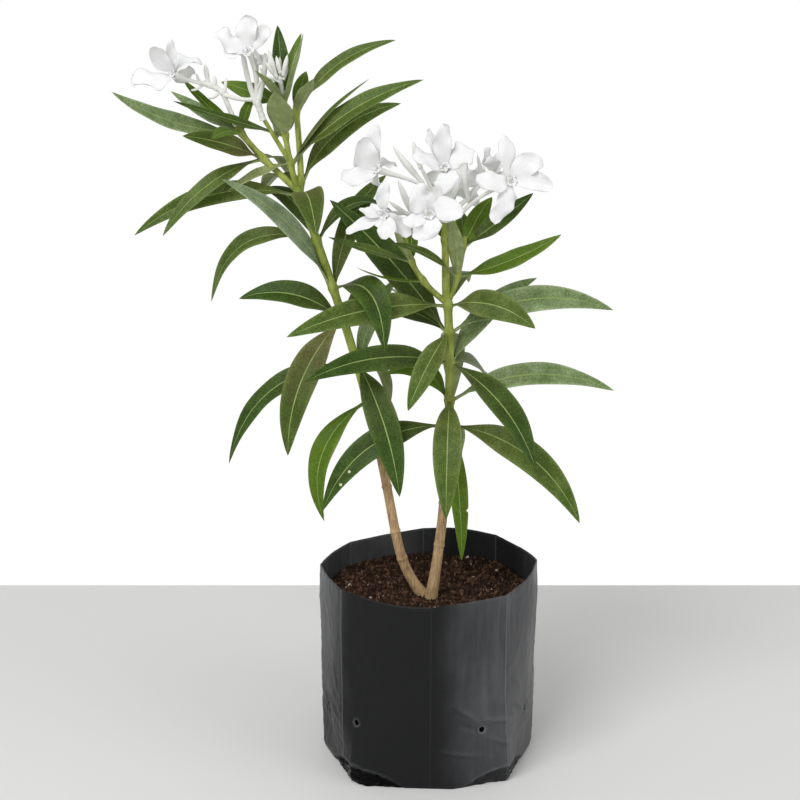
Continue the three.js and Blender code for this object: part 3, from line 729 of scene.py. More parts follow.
# blossom
# A flower gives its throat, its facing as bearing and lift, and its petals. A petal gives how far its tip lies from
# the throat in X, Y and Z, its width, how far its middle bends aside, its turn in degrees and its fold. A rod gives
# its guide points, its radius at the foot and the tip and how knobbly it is, and a bud its foot, tip and radius.
cymeSizes = {
    "left_blossom_top": {
        "flowers": [((-145, -8, 607), (262, 34), [
            (-4, -4, 28, 15.5, 1, -12, 0.15), (-28, -6, 11, 17, -2, 14, 0.2), (-15, -16, -5, 12.5, 1, 20, 0.25),
            (15, -2, 21, 13, -2, 24, 0.3), (10, 15, -6, 12, 0, 10, 0.1)])],
        "tubes": [((-141, -2, 568), (-139, -3, 588))],
        "buds": [((-179, -3, 583), (-181, -4, 598), 2.3), ((-173, -3, 579), (-174, -4, 589), 1.9),
                 ((-186, -4, 584), (-188, -5, 590), 1.2)],
        "rods": [
            ([(-136, 0, 553), (-138, -1, 560), (-141, -2, 570)], 2.5, 2.9, 1.6),
            ([(-141, -2, 566), (-149, -2, 588), (-151, 1, 606)], 2.4, 1.9, 1.2),
            ([(-140, -2, 567), (-133, -1, 588), (-133, 0, 606)], 2.3, 2.0, 1.2),
            ([(-141, 1, 567), (-140, 4, 588), (-142, 8, 602)], 2.0, 1.8, 1.0),
            ([(-140, -2, 577), (-137, -3, 589), (-127, -3, 588), (-121, -2, 582)], 1.5, 1.2, 0.6),
            ([(-133, -3, 585), (-136, -4, 592), (-137, -5, 595)], 1.1, 0.7, 0.4),
            ([(-141, -2, 570), (-153, -4, 568), (-168, -2, 574)], 1.8, 1.7, 0.5),
        ],
    },
    "left_blossom_side": {
        "flowers": [((-205, -14, 590), (226, 14), [
            (-18, -8, 19, 14, 2, 10, 0.2), (-25, -18, -10, 21, 2, -14, 0.3), (-1, -3, 27, 8, 0, 74, 0.1),
            (15, 14, 13, 20, 0, 12, 0.2), (12, 20, -3, 13, 0, -10, 0.2)])],
        "tubes": [((-180, -4, 582), (-192, -7, 583))],
        "buds": [],
        "rods": [
            ([(-158, 3, 548), (-163, 1, 562), (-168, -2, 575)], 2.3, 1.8, 0.8),
            ([(-166, -1, 573), (-172, -3, 580), (-184, -4, 583)], 2.9, 2.3, 1.8),
            ([(-167, -2, 573), (-165, -2, 580), (-165, -2, 587)], 1.5, 1.2, 0.4),
            ([(-172, -3, 574), (-175, -3, 570), (-180, -3, 571)], 1.5, 1.0, 0.6),
            ([(-183, -4, 582), (-187, -5, 577), (-193, -5, 577)], 1.3, 0.8, 0.5),
        ],
    },
    "left_buds": {
        "flowers": [], "tubes": [],
        "buds": [((-124, -3, 586), (-130, -6, 609), 2.3), ((-121, -3, 590), (-124, -4, 604), 2.0),
                 ((-119, -3, 588), (-115, -4, 605), 2.2), ((-124, -3, 587), (-133, -5, 600), 1.7),
                 ((-119, -2, 585), (-115, -1, 595), 1.6), ((-121, 0, 587), (-122, 5, 603), 1.9)],
        "rods": [([(-119, 4, 573), (-121, 0, 580), (-122, -2, 588)], 1.9, 2.2, 0.9)],
    },
    "right_blossom": {
        "flowers": [
            ((-43, -26, 516), (232, 22), [
                (-20, -6, 18, 20, 2, 10, 0.2), (-28, -12, -8, 14, -2, -16, 0.3), (-2, 0, 36, 10.5, -4, 34, 0.2),
                (12, 18, 4, 12, 0, 30, 0.2), (2, 12, -16, 12, 0, 0, 0.2)]),
            ((11, -14, 516), (262, 34), [
                (-7, -2, 34, 14, 2, 18, 0.2), (22, -4, 17, 20, -2, -14, 0.2), (-27, -8, 8, 15, 2, 12, 0.3),
                (-15, 10, 30, 10, 0, 36, 0.1), (4, -14, -18, 18, 0, 8, 0.2)]),
            ((64, -22, 506), (284, 20), [
                (-8, 2, 37, 12.5, 1, 12, 0.15), (20, -4, 23, 17.5, -2, -12, 0.15), (33, -10, 1, 13.5, -2, 14, 0.25),
                (-9, -10, -34, 14, 2, -8, 0.2), (-28, -8, -3, 17, 0, 16, 0.3)]),
            ((52, -4, 512), (252, 44), [
                (-11, -4, 18, 10, 0, 20, 0.2), (-4, -10, 12, 12, 0, -30, 0.3), (22, 8, -28, 7, 0, 0, 0.2),
                (30, 6, -12, 7, 0, 20, 0.2), (10, 14, 16, 11, 0, 0, 0.2)]),
            ((-38, -46, 483), (246, 4), [
                (-2, -2, 27, 9.5, 1, 26, 0.3), (-20, -3, 1, 9, 0, 50, 0.3), (-28, -10, -16, 10, 2, 20, 0.3),
                (4, -14, -17, 14, -2, -10, 0.25), (23, -6, -12, 14, 0, 16, 0.2)]),
            ((-2, -52, 484), (268, 10), [
                (-17, -2, 18, 18, 1, 10, 0.2), (6, 2, 22, 10, 0, 30, 0.2), (25, -4, 8, 19, -1, -14, 0.2),
                (-1, -10, -20, 20, 0, 8, 0.25), (-20, -8, -9, 11, 0, 20, 0.2)]),
            ((22, 32, 496), (76, 30), [
                (2, 6, 26, 16, 0, 12, 0.2), (26, -2, 10, 16, 0, 12, 0.2), (15, 12, -18, 16, 0, 12, 0.2),
                (-16, 14, -16, 16, 0, 12, 0.2), (-26, 6, 10, 16, 0, 12, 0.2)]),
        ],
        "tubes": [
            ((0, -13, 497), (-12, -16, 508)), ((10, -12, 486), (12, -12, 500)), ((24, -14, 478), (36, -17, 496)),
            ((30, -10, 494), (44, -6, 506)), ((2, -20, 480), (-16, -32, 483)), ((6, -20, 478), (2, -36, 482)),
            ((12, -6, 482), (18, 10, 488)),
        ],
        "buds": [
            ((-6, -14, 503), (-31, -22, 534), 3.0), ((-8, -5, 514), (-15, -2, 537), 2.8),
            ((-14, -28, 478), (-27, -41, 510), 2.9), ((-15, -34, 479), (-34, -50, 494), 2.0),
            ((30, -16, 490), (24, -26, 522), 2.9), ((42, -12, 506), (37, -11, 527), 1.7),
        ],
        "rods": [
            ([(11, -12, 472), (12, -12, 478), (8, -12, 488)], 3.1, 2.6, 1.0),
            ([(10, -12, 482), (2, -13, 492), (-2, -13, 499)], 2.0, 1.8, 0.6),
            ([(11, -12, 480), (20, -13, 482), (30, -15, 492)], 2.2, 1.8, 0.6),
            ([(10, -12, 480), (0, -20, 480), (-14, -29, 479)], 2.0, 1.7, 0.6),
            ([(8, -12, 484), (0, -8, 500), (-8, -5, 515)], 1.8, 1.5, 0.5),
            ([(29, -14, 489), (36, -13, 497), (42, -12, 507)], 1.6, 1.3, 0.4),
        ],
    },
}
petal = {
    "stations": 22, "thickness": 0.2, "widen": 1.16, "ruffle": 0.16, "slant": (0.25, 0.65), "bulge": 0.13,
    "shoulder": 0.62,  # where along the petal its round tip begins
    "scales": 5, "scaleLength": 2.6, "scaleWidth": 4.2,
}
tube = {
    "stations": 29, "radius": 1.5, "funnel": 2.9, "lip": 0.35, "throat": 0.7,
    "mouth": 0.86,  # the share of the sweep that goes up to the mouth, before it turns down inside
}
bud = {"stations": 22, "foot": 1.2, "tip": 0.75, "calyx": 0.5, "twist": 150, "droop": 1.5}
stalkFacets = 14
whites = {  # dark and light shade, and the roughness
    "petalWhite": ((0.76, 0.765, 0.765), (0.82, 0.822, 0.82), 0.6),
    "stalkWhite": ((0.66, 0.67, 0.60), (0.80, 0.80, 0.765), 0.55),
}
petalSection = [
    (-1, 0, 0), (-0.93, 0.8, 0), (-0.7, 1, 0), (-0.4, 1, 0), (-0.12, 1, 0), (0.12, 1, 0), (0.4, 1, 0), (0.7, 1, 0),
    (0.93, 0.8, 0), (1, 0, 0), (0.7, -1, 0), (0.35, -1, 0), (0, -1, 0), (-0.35, -1, 0), (-0.7, -1, 0),
]


def addPetal(petals, points, side, width, turn, fold, chance):
    phases = [chance.uniform(0, 2 * math.pi) for edge in range(2)]
    width *= petal["widen"]
    waves, curl, ruffle = chance.uniform(1.5, 3.0), chance.uniform(-0.15, 0.3), petal["ruffle"] * width
    slant = chance.uniform(*petal["slant"]) * width / 2 * mm
    middle = bezier(points)

    def route(along):  # the tip leans aside, as on a propeller
        spot, tangent = middle(along)
        return spot + side * slant * smooth(along, 0.5, 1.0) ** 1.5, tangent

    def sideAt(tangent, along):
        flat = (side - tangent * side.dot(tangent)).normalized()
        return turned(flat, tangent, turn * smooth(along, 0.05, 0.7))

    def sectionAt(along):
        beyond = max(0.0, (along - petal["shoulder"]) / (1 - petal["shoulder"]))
        tip = max(0.0, 1 - beyond ** 2.4) ** 0.6
        spoon = (0.28 + 0.72 * smooth(along, 0.0, 0.66)) * tip
        ripple = [ruffle * smooth(along, 0.2, 0.8) * math.sin(2 * math.pi * waves * along + p) * mm for p in phases]
        return {
            "half": max(0.02, width / 2 * spoon) * mm, "thick": petal["thickness"] * mm * (0.4 + 0.6 * tip),
            "fold": fold * (1 - 0.4 * along), "curl": curl * tip, "waveLeft": ripple[0], "waveRight": ripple[1],
        }

    petals.add(route, petal["stations"], sideAt, sectionAt)


def addFlower(petals, stalks, flower, tubeGuides, chance):
    throatPoint, (bearing, lift), rows = flower
    throat, axis = Vector(throatPoint) * mm, heading(bearing, lift)
    for x, y, z, width, bend, turn, fold in rows:
        reach = Vector((x, y, z)) * mm
        out = (reach - axis * reach.dot(axis)).normalized()
        side, bulge = out.cross(axis), reach.length * petal["bulge"]
        points = [
            throat + (out * 1.8 - axis * 3.0) * mm, throat + (out * 3.4 + axis * 1.5) * mm,
            throat + reach * 0.6 + axis * bulge + side * bend * mm, throat + reach,
        ]
        addPetal(petals, points, side, width, turn, fold, chance)
    across = axis.cross(Vector((0, 0, 1))).normalized()
    for k in range(petal["scales"]):  # the fringe round the throat
        out = turned(across, axis, 20 + (k + 0.5) * 360 / petal["scales"])  # between the petals
        height = petal["scaleLength"] * chance.uniform(0.8, 1.1)
        points = [throat + (out * 1.6 - axis * 1.0) * mm, throat + (out * 2.6 + axis * height * 0.7) * mm,
                  throat + (out * 4.4 + axis * height) * mm]
        addPetal(petals, points, out.cross(axis), petal["scaleWidth"], 10, 0.2, chance)

    mouth = throat - axis * 0.8 * mm
    start, lower = [Vector(point) * mm for point in tubeGuides]
    middle = bezier([start, lower, throat - axis * 9 * mm, mouth])

    def route(along):
        if along <= tube["mouth"]:
            return middle(along / tube["mouth"])
        inward = (along - tube["mouth"]) / (1 - tube["mouth"])
        return mouth - axis * tube["throat"] * mm * inward, middle(1.0)[1]

    def sectionAt(along):
        calyx = 0.35 * math.exp(-((along - 0.12) / 0.05) ** 2)
        outer = tube["radius"] + calyx + (tube["funnel"] - tube["radius"]) * smooth(along, 0.3, tube["mouth"])
        inner = (tube["funnel"] - tube["lip"]) * (1 - smooth(along, tube["mouth"], 1.0) * 0.85)
        radius = (outer if along <= tube["mouth"] else inner) * mm
        return {"half": radius, "thick": radius}

    stalks.add(route, tube["stations"], roundSide, sectionAt)


def addBud(stalks, start, tip, plump):
    start, tip = Vector(start) * mm, Vector(tip) * mm
    bow = Vector((0, 0, -bud["droop"] * mm))

    def sectionAt(along):
        calyx = bud["calyx"] * math.exp(-((along - 0.08) / 0.05) ** 2)
        body = (plump - 0.9) * math.sin(math.pi * min(1.0, 0.04 + along) ** 1.35)
        core = lerp(bud["foot"], bud["tip"], along) * (1 - smooth(along, 0.88, 1.0) * 0.75)
        radius = (core + calyx + body) * mm
        return {"half": radius, "thick": radius * 0.9}

    def sideAt(tangent, along):  # the closed petals are rolled round each other
        return turned(roundSide(tangent, along), tangent, bud["twist"] * along)

    stalks.add(bezier([start, start.lerp(tip, 0.5) + bow, tip]), bud["stations"], sideAt, sectionAt)


def addRod(stalks, points, foot, tip, knobs, chance):
    phase = chance.uniform(0, 6)

    def sectionAt(along):
        knob = 0.22 * knobs * math.sin(17 * along + phase) * math.sin(9 * along + phase)
        end = math.sqrt(max(0.05, 1 - max(0.0, (along - 0.9) / 0.1) ** 2))
        radius = (lerp(foot, tip, along) + knob) * end * mm
        return {"half": radius, "thick": radius * 0.94, "rough": 0.5 * knobs * mm}

    length = (Vector(points[0]) - Vector(points[-1])).length
    stalks.add(bezier([Vector(p) * mm for p in points]), max(10, round(length)), roundSide, sectionAt)


def whiteFinish(name, shade, light, rough):
    def build(graph):
        sheet = graph.add("ShaderNodeMapping", {}, {"Vector": graph.sheet(), "Scale": (9.0, 1.3, 1.0)})
        veins = graph.noise(sheet, 1.6, 3.0, 0.6)
        soft = graph.noise(graph.place(), 110.0, 2.0)
        return {"Base Color": graph.colours(shade, light, (veins * 0.6 + soft * 0.4).within(0.3, 0.6)),
                "Roughness": soft * 0.15 + rough, "Normal": graph.bump(veins, 0.0002, 0.3)}
    return finish(name, {"Specular IOR Level": 0.2}, build)


def makeBlossom():
    chance = random.Random(31)
    petals, stalks = Strands(), Strands()
    for sizes in cymeSizes.values():
        for flower, guides in zip(sizes["flowers"], sizes["tubes"]):
            addFlower(petals, stalks, flower, guides, chance)
        for shape in sizes["buds"]:
            addBud(stalks, *shape)
        for rod in sizes["rods"]:
            addRod(stalks, *rod, chance)
    petalWhite, stalkWhite = [whiteFinish(name, *tones) for name, tones in whites.items()]
    cymes = [*nodesNamed("left_blossom", "right_blossom"), "left_buds"]
    settle(petals.sweep("petals", petalSection, [(petalWhite, None)]), cymes)
    settle(stalks.sweep("flowerStalks", roundSection(stalkFacets), [(stalkWhite, None)]), cymes)


# grow bag
bag = {
    "radius": 95.5, "height": 170, "film": 0.7, "perFace": 36, "levels": 84,
    "rimWave": 2.2, "rimTilt": 6, "rimDip": (146, 24, 3.5),
    # crease bearing, how sharp it is, and how round the face after it is
    "creases": [(3, 1.0, 0.5), (48, 1.0, 0.5), (92, 0.6, 0.6), (138, 1.0, 0.5), (180, 1.0, 0.5), (219, 1.0, 0.7),
                (270, 0.12, 0.7), (312, 1.0, 0.5)],
    # the folded base is squarer: each edge is the bearing it faces and how far out it lies
    "baseEdges": [(0, 93), (20, 90), (75, 91), (93, 88), (159, 91), (180, 94), (201, 91), (267, 88), (286, 91),
                  (340, 90)],
    "baseReach": 102.5, "baseLow": 4, "baseTop": 70,
    "crinkle": 0.25, "dent": 1.5, "ripple": 0.7, "rippleBand": (52, 24), "sag": 0.5, "fold": 0.35, "edge": 0.12,
    # creases in the film: bearing and height of both ends, and how far each stands out
    "wrinkles": [((282, 79), (297, 59), 1.5), ((299, 62), (318, 54), 1.3), ((276, 36), (299, 28), 0.9),
                 ((301, 45), (319, 30), 1.2), ((285, 62), (295, 53), -1.1), ((322, 66), (334, 52), 1.1),
                 ((318, 92), (330, 78), 0.8), ((196, 62), (212, 47), 1.1), ((206, 100), (213, 72), 0.8),
                 ((60, 70), (78, 58), 1.1), ((110, 66), (124, 52), 1.1), ((150, 44), (168, 34), 1.0)],
    "wrinkleWidth": 1.9,
    # folded corners: where each fold starts, passes the corner and ends, and its height there
    "tucks": [(199, 229, 256, 17), (340, 313, 288, 15), (22, 48, 69, 14), (155, 129, 107, 14)],
    "tuckDepth": 2.6, "tuckCrumple": 1.8, "tuckLip": 0.6,
}
drain = {
    "radius": 2.5, "pucker": 1.6, "reach": 5.5, "ray": 0.45, "sides": 14, "plug": (84, 104),
    "holes": [(22, 49), (62, 54), (118, 54), (166, 49), (194, 47), (229, 54), (298, 53), (338, 49)],
}


def bagBearing(turn):
    # the bearing at a share of the way round, half its face's angle, the share of the way across the face, how round
    # the face is and how sharp the nearest crease is
    creases, faces = bag["creases"], len(bag["creases"])
    step = turn * faces + 1e-6
    face, within = int(step) % faces, step % 1.0
    start, _, bulge = creases[face]
    following = creases[face + 1][0] if face + 1 < faces else creases[0][0] + 360
    sharp = creases[face if within < 0.5 else (face + 1) % faces][1]
    return lerp(start, following, within), (following - start) / 2, within, bulge, sharp


def bagReach(turn, height):
    bearing, half, within, bulge, _ = bagBearing(turn)
    ways = [away / max(0.2, math.cos(math.radians(bearing - facing))) for facing, away in bag["baseEdges"]]
    flat = math.cos(math.radians(half)) / math.cos(math.radians((within * 2 - 1) * half))
    upper = bag["radius"] * lerp(flat, 1.0, bulge)
    rise = smooth(height, bag["baseLow"], bag["baseTop"])
    return lerp(min(bag["baseReach"], *ways), upper, rise) * lerp(0.985, 1.0, min(1.0, height / 5))


def rimLift(bearing):
    angle, (dip, spread, depth) = math.radians(bearing), bag["rimDip"]
    wave = bag["rimWave"] * (math.cos(2 * angle + 0.6) * 0.6 + math.cos(5 * angle) * 0.4)
    tilt = bag["rimTilt"] * max(0, math.sin(angle)) ** 2 * math.cos(angle)
    return wave + tilt - depth * math.exp(-((bearing - dip) / spread) ** 2)


def angleGap(first, second):
    return (first - second + 180) % 360 - 180


def tuckGap(tuck, bearing, height):  # how far a point lies below the fold, and its share of the way to the fold's end
    start, corner, end, high = tuck
    way = angleGap(bearing, corner)
    share = way / angleGap(start if way * angleGap(start, corner) > 0 else end, corner)
    return high * (1 - share * share) - height, share


def wrinkleAt(bearing, height):  # how far a wrinkle stands out here, and how far up (or down) its side this is
    stand = slope = 0.0
    for start, end, lift in bag["wrinkles"]:
        spread = Vector((math.radians(angleGap(bearing, start[0])) * bag["radius"], height - start[1]))
        reach = Vector((math.radians(angleGap(end[0], start[0])) * bag["radius"], end[1] - start[1]))
        share = min(1.0, max(0.0, spread.dot(reach) / reach.length_squared))
        gap = (spread - reach * share) / bag["wrinkleWidth"]
        ridge = lift * math.exp(-gap.length_squared) * math.sin(math.pi * (0.1 + 0.8 * share))
        stand += ridge
        slope += ridge * gap.y
    return stand, slope


def paintedLightAt(bearing, height):  # painted highlight on the upper side of a wrinkle, where a lamp above lights it, and along the folds; painted shade on the lower side
    stand, slope = wrinkleAt(bearing, height)
    paintedLight = stand * 0.15 + slope * 0.8
    for tuck in bag["tucks"]:
        gap, share = tuckGap(tuck, bearing, height)
        if share < 1:
            paintedLight += math.exp(-((gap + 0.8) / 0.9) ** 2) * (1 - share * share)
    return paintedLight


def filmMove(bearing, height, within, sharp):
    # crinkles, dents, folded corners and the puckers round the drain holes, in millimetres outwards
    angle = math.radians(bearing)
    spot = Vector((math.cos(angle), math.sin(angle), 0))
    low = smooth(height, 0, 14)
    move = bag["dent"] * noise.noise(spot * 2.2 + Vector((0, 0, height * 0.018))) * low
    crease = min(within, 1 - within)
    streaks = noise.noise(Vector((spot.x * 26, spot.y * 26, height * 0.02))) * (1 - smooth(crease, 0.0, 0.3))
    move += bag["crinkle"] * streaks * low * sharp
    ripples = noise.noise(Vector((spot.x * 5, spot.y * 5, height * 0.16 + spot.x * 6)))
    middle, spread = bag["rippleBand"]
    move += bag["ripple"] * ripples * math.exp(-((height - middle) / spread) ** 2)
    soft = noise.noise(Vector((spot.x * 4 + 9, spot.y * 4, height * 0.03)))
    folds = 1 - abs(noise.noise(Vector((spot.x * 7, spot.y * 7, height * 0.05 - spot.x * 3))))
    move += (bag["sag"] * soft + bag["fold"] * (folds ** 8 - 0.4)) * low
    move += sharp * bag["edge"] * math.exp(-(crease / 0.02) ** 2)
    move += wrinkleAt(bearing, height)[0]
    for tuck in bag["tucks"]:
        gap, share = tuckGap(tuck, bearing, height)
        if share < 1:
            crumple = 1 - 2.5 * abs(noise.noise(Vector((spot.x * 16, spot.y * 16, height * 0.30 + spot.y * 12))))
            depth = bag["tuckDepth"] - bag["tuckCrumple"] * crumple
            move -= depth * smooth(gap, 0.0, 1.4) * (1 - share ** 4)
            move += bag["tuckLip"] * math.exp(-(gap / 1.5) ** 2) * (1 - share)
    for hole, level in drain["holes"]:
        aside = math.radians(angleGap(bearing, hole)) * bag["radius"]
        away = math.hypot(aside, height - level)
        if away < 4 * drain["reach"]:
            rays = math.cos(5 * math.atan2(height - level, aside) + hole)
            move -= drain["pucker"] * math.exp(-(away / (drain["reach"] * 0.45)) ** 2)
            move += drain["ray"] * rays * math.exp(-((away - drain["reach"]) / 4) ** 2)
    return move


def ringMesh(name, rings, count):
    # rings of points from a pole below to a pole above, closed at both
    mesh = bpy.data.meshes.new(name)
    places = [rings[0][0]] + [point for ring in rings[1:-1] for point in ring] + [rings[-1][0]]
    faces = [(0, 1 + (i + 1) % count, 1 + i) for i in range(count)]
    for ring in range(len(rings) - 3):
        base = 1 + ring * count
        for i in range(count):
            j = (i + 1) % count
            faces.append((base + i, base + j, base + count + j, base + count + i))
    last, end = 1 + (len(rings) - 3) * count, len(places) - 1
    faces += [(last + i, last + (i + 1) % count, end) for i in range(count)]
    mesh.from_pydata(places, [], faces)
    mesh.polygons.foreach_set("use_smooth", [True] * len(faces))
    return newObject(name, mesh)


def bagRing(height, count, share=1.0, inset=0.0, level=None):
    ring = []
    for i in range(count):
        bearing, _, within, _, sharp = bagBearing(i / count)
        moved = filmMove(bearing, height, within, sharp) if share > 0.9 else 0.0
        out = heading(bearing) * ((bagReach(i / count, height) + moved) * share - inset)
        out.z = height if level is None else level
        if share > 0.9:
            out.z += rimLift(bearing) * smooth(height, 120, bag["height"])
        ring.append(out * mm)
    return ring


def bearingAndHeight(place):
    spot = place / mm
    return math.degrees(math.atan2(spot.y, spot.x)) % 360, spot.z


def makeBag():
    count, top = bag["perFace"] * len(bag["creases"]), bag["height"]
    heights = [top * (i / bag["levels"]) ** 1.15 for i in range(bag["levels"] + 1)]
    rings = [[Vector((0, 0, 0))]] + [bagRing(0, count, share) for share in (0.3, 0.6, 0.85)]
    rings += [bagRing(h, count) for h in heights]
    rings += [bagRing(h, count, 1.0, bag["film"]) for h in heights[:1:-1]]
    rings += [bagRing(2, count, 0.6, 0, 1.0), [Vector((0, 0, 1.0 * mm))]]
    piece = ringMesh("growBag", rings, count)
    punch(piece)
    for name, tones in film["coats"].items():
        piece.data.materials.append(filmFinish(name, *tones))
    # painted highlight and shade along the wrinkles and the folds, kept on the points for the film's colour
    wearAndPaintedLight = piece.data.attributes.new("wearAndPaintedLight", "FLOAT", "POINT")
    for vertex, value in zip(piece.data.vertices, wearAndPaintedLight.data):
        value.value = paintedLightAt(*bearingAndHeight(vertex.co))
    for face in piece.data.polygons:
        bearing, height = bearingAndHeight(face.center)
        gaps = [tuckGap(tuck, bearing, height) for tuck in bag["tucks"]]
        if height > 0.2 and any(gap > 0.4 and share < 0.97 for gap, share in gaps):
            face.material_index = 1  # under a fold, where the darker film is painted shade
    return settle(piece, ["grow_bag"])


def punch(piece):
    # the drain holes, cut through the film by slightly oval plugs
    places, faces, sides = [], [], drain["sides"]
    for bearing, level in drain["holes"]:
        out, up = heading(bearing), Vector((0, 0, 1))
        aside, base = up.cross(out), len(places)
        for radius in drain["plug"]:
            for i in range(sides):
                angle = 2 * math.pi * i / sides
                oval = aside * math.cos(angle) * 0.95 + up * math.sin(angle)
                places.append((out * radius + oval * drain["radius"] + up * level) * mm)
        for i in range(sides):
            j = (i + 1) % sides
            faces.append((base + i, base + j, base + sides + j, base + sides + i))
        faces.append(tuple(base + i for i in reversed(range(sides))))
        faces.append(tuple(base + sides + i for i in range(sides)))
    mesh = bpy.data.meshes.new("plugs")
    mesh.from_pydata(places, [], faces)
    plugs = newObject("plugs", mesh)
    cut = piece.modifiers.new("holes", "BOOLEAN")
    cut.object = plugs
    cut.solver = "EXACT"
    depsgraph = bpy.context.evaluated_depsgraph_get()
    holed = bpy.data.meshes.new_from_object(piece.evaluated_get(depsgraph), depsgraph=depsgraph)
    piece.modifiers.remove(cut)
    piece.data = holed
    holed.name = "growBag"
    bpy.data.objects.remove(plugs)


# The film's look. Each pair of millimetres says where something begins and where it is full: a crease's painted
# hairline glint, the pale rim of a hole, the painted sheens and the gloss.
film = {
    "hairlineGlint": (1.0, 0.2), "rim": (4.8, 3.0), "faceOut": 40,  # they show past this distance out, on their own side
    "rightSheen": (2, 58), "rightEdge": (68, 92), "leftSheen": (65, 90), "leftRise": (30, 160), "backSheen": (-30, 40),
    "behind": (0, 50), "gloss": (0, 40), "glossTop": (150, 60), "wander": 30,  # how unevenly the painted sheens begin
    # dark and light tone, specular level and how rough, on the faces and under the folds, where the darker tones are
    # painted shade
    "coats": {"polytheneFilm": (0.014, 0.120, 0.08, 1.0), "foldShadedFilm": (0.0006, 0.050, 0.07, 0.45)},
    "tint": (1.0, 1.02, 1.08), "coatRoughness": 0.28, "coatIor": 1.45,
}


def filmFinish(name, dark, light, shine, roughness):
    def build(graph):
        def ramp(wire, label):
            return wire.within(*[edge * mm for edge in film[label]])

        place = graph.place()
        streaks = graph.noise(graph.place((1.0, 1.0, 0.10)), 130.0, 4.0, 0.6)
        clouds = graph.noise(graph.place((1.0, 1.0, 0.7)), 16.0, 4.0)
        creased = 1.0 - abs(graph.noise(place, 55.0, 2.0, 0.4) - 0.5) * 2.0
        grain = graph.noise(place, 1500.0, 2.0)
        along, back, rise = [graph.part(place, axis) for axis in "XYZ"]

        def outAndAside(bearing):  # whether a point is on that side of the bag, and how far it is aside
            out = heading(bearing)
            return (along * out.x + back * out.y) > film["faceOut"] * mm, abs(along * out.y - back * out.x)

        hairlineGlint = rim = streaks * 0.0
        # a painted glint along each sharp crease, which the bump also raises a little
        for bearing, sharp, _ in bag["creases"]:
            onSide, aside = outAndAside(bearing)
            hairlineGlint = hairlineGlint + onSide * ramp(aside, "hairlineGlint") * sharp
        for bearing, level in drain["holes"]:  # the film is paler where it is stretched round a hole
            onSide, aside = outAndAside(bearing)
            rim = rim + onSide * ramp((aside ** 2.0 + abs(rise - level * mm) ** 2.0) ** 0.5, "rim")
        behind = ramp(back, "behind")
        patch = (clouds - 0.5) * (film["wander"] * mm)
        # painted sheen: the film's colour is lighter at the right of the front, more so higher up, up the left side
        # and round the back, standing in for reflected light
        paintedSheen = ramp(along + patch, "rightSheen") * (1 - behind) * (rise * 3.2 + 0.52)
        paintedSheen = paintedSheen * (1 - ramp(along, "rightEdge") * 0.25)
        paintedSheen = paintedSheen + ramp(patch - along, "leftSheen") * ramp(rise, "leftRise") * (1 - behind)
        paintedSheen = paintedSheen + behind * (ramp(patch - along, "backSheen") * 0.7 + 0.15)
        sheenMottle = streaks.within(0.40, 0.75) * 0.25 + clouds.within(0.40, 0.75) * 0.35
        # the colour grows paler with the painted sheen, the painted crease glints and the painted wrinkle light and
        # shade, and with the pale stretched rims of the holes
        pale = paintedSheen * (0.45 + sheenMottle) + hairlineGlint * 0.55 + rim * 0.45 + graph.attribute("wearAndPaintedLight", "Fac") * 0.45
        colour = graph.colours(*[tuple(tone * t for t in film["tint"]) for tone in (dark, light)], pale)
        height = streaks * 0.5 + grain * 0.05 + hairlineGlint * 0.5 + creased ** 6.0 * (2.6 - 2.3 * roughness)
        gloss = ramp(along + patch, "gloss") * ramp(rise, "glossTop") * (1 - behind) * 0.3
        return {"Base Color": colour, "Roughness": (clouds * 0.35 + streaks * 0.15 + 0.1) * roughness,
                "Coat Weight": gloss, "Normal": graph.bump(height, 0.0009, 0.5)}
    fixed = {"Specular IOR Level": shine, "Coat Roughness": film["coatRoughness"], "Coat IOR": film["coatIor"]}
    return finish(name, fixed, build)


# potting mix
mix = {
    "top": 146, "sink": 1.5, "inset": 2.8, "rings": 56, "bump": 2.4, "grit": 1.5, "crown": (-1, -10), "flat": 20,
    "foot": 3, "wallLevels": (12, 30, 60, 100, 132), "bed": ((0.010, 0.005, 0.003), (0.035, 0.018, 0.011)),
    "lumps": 1.6,  # how far the grains are roughened
    "scatters": [
        # name, grains a square metre, smallest and largest radius, stretch, dark and light colour, seed
        ("peatCrumbs", 95000, 0.9, 2.7, (1.0, 1.0, 0.8), (0.014, 0.007, 0.004), (0.060, 0.031, 0.018), 3),
        ("barkCrumbs", 42000, 0.9, 2.7, (1.3, 0.9, 0.7), (0.045, 0.022, 0.012), (0.150, 0.080, 0.047), 5),
        ("barkChips", 9000, 0.9, 2.0, (2.6, 0.9, 0.5), (0.06, 0.034, 0.02), (0.25, 0.15, 0.10), 8),
        ("perliteGrains", 3000, 0.8, 2.0, (1.0, 0.9, 0.8), (0.32, 0.25, 0.19), (0.62, 0.54, 0.45), 13),
    ],
}


def soilHeight(x, y, edge):
    away = math.hypot(x - mix["crown"][0], y - mix["crown"][1])
    humps = math.sin(x * 0.11) * math.cos(y * 0.13) + 0.6 * math.sin(x * 0.07 - y * 0.19)
    grit = noise.noise(Vector((x, y, 0)) * 0.28) + 0.6 * noise.noise(Vector((x, y, 7)) * 0.7)
    return mix["bump"] * humps * smooth(away, mix["flat"], mix["flat"] * 2) * edge + mix["grit"] * grit


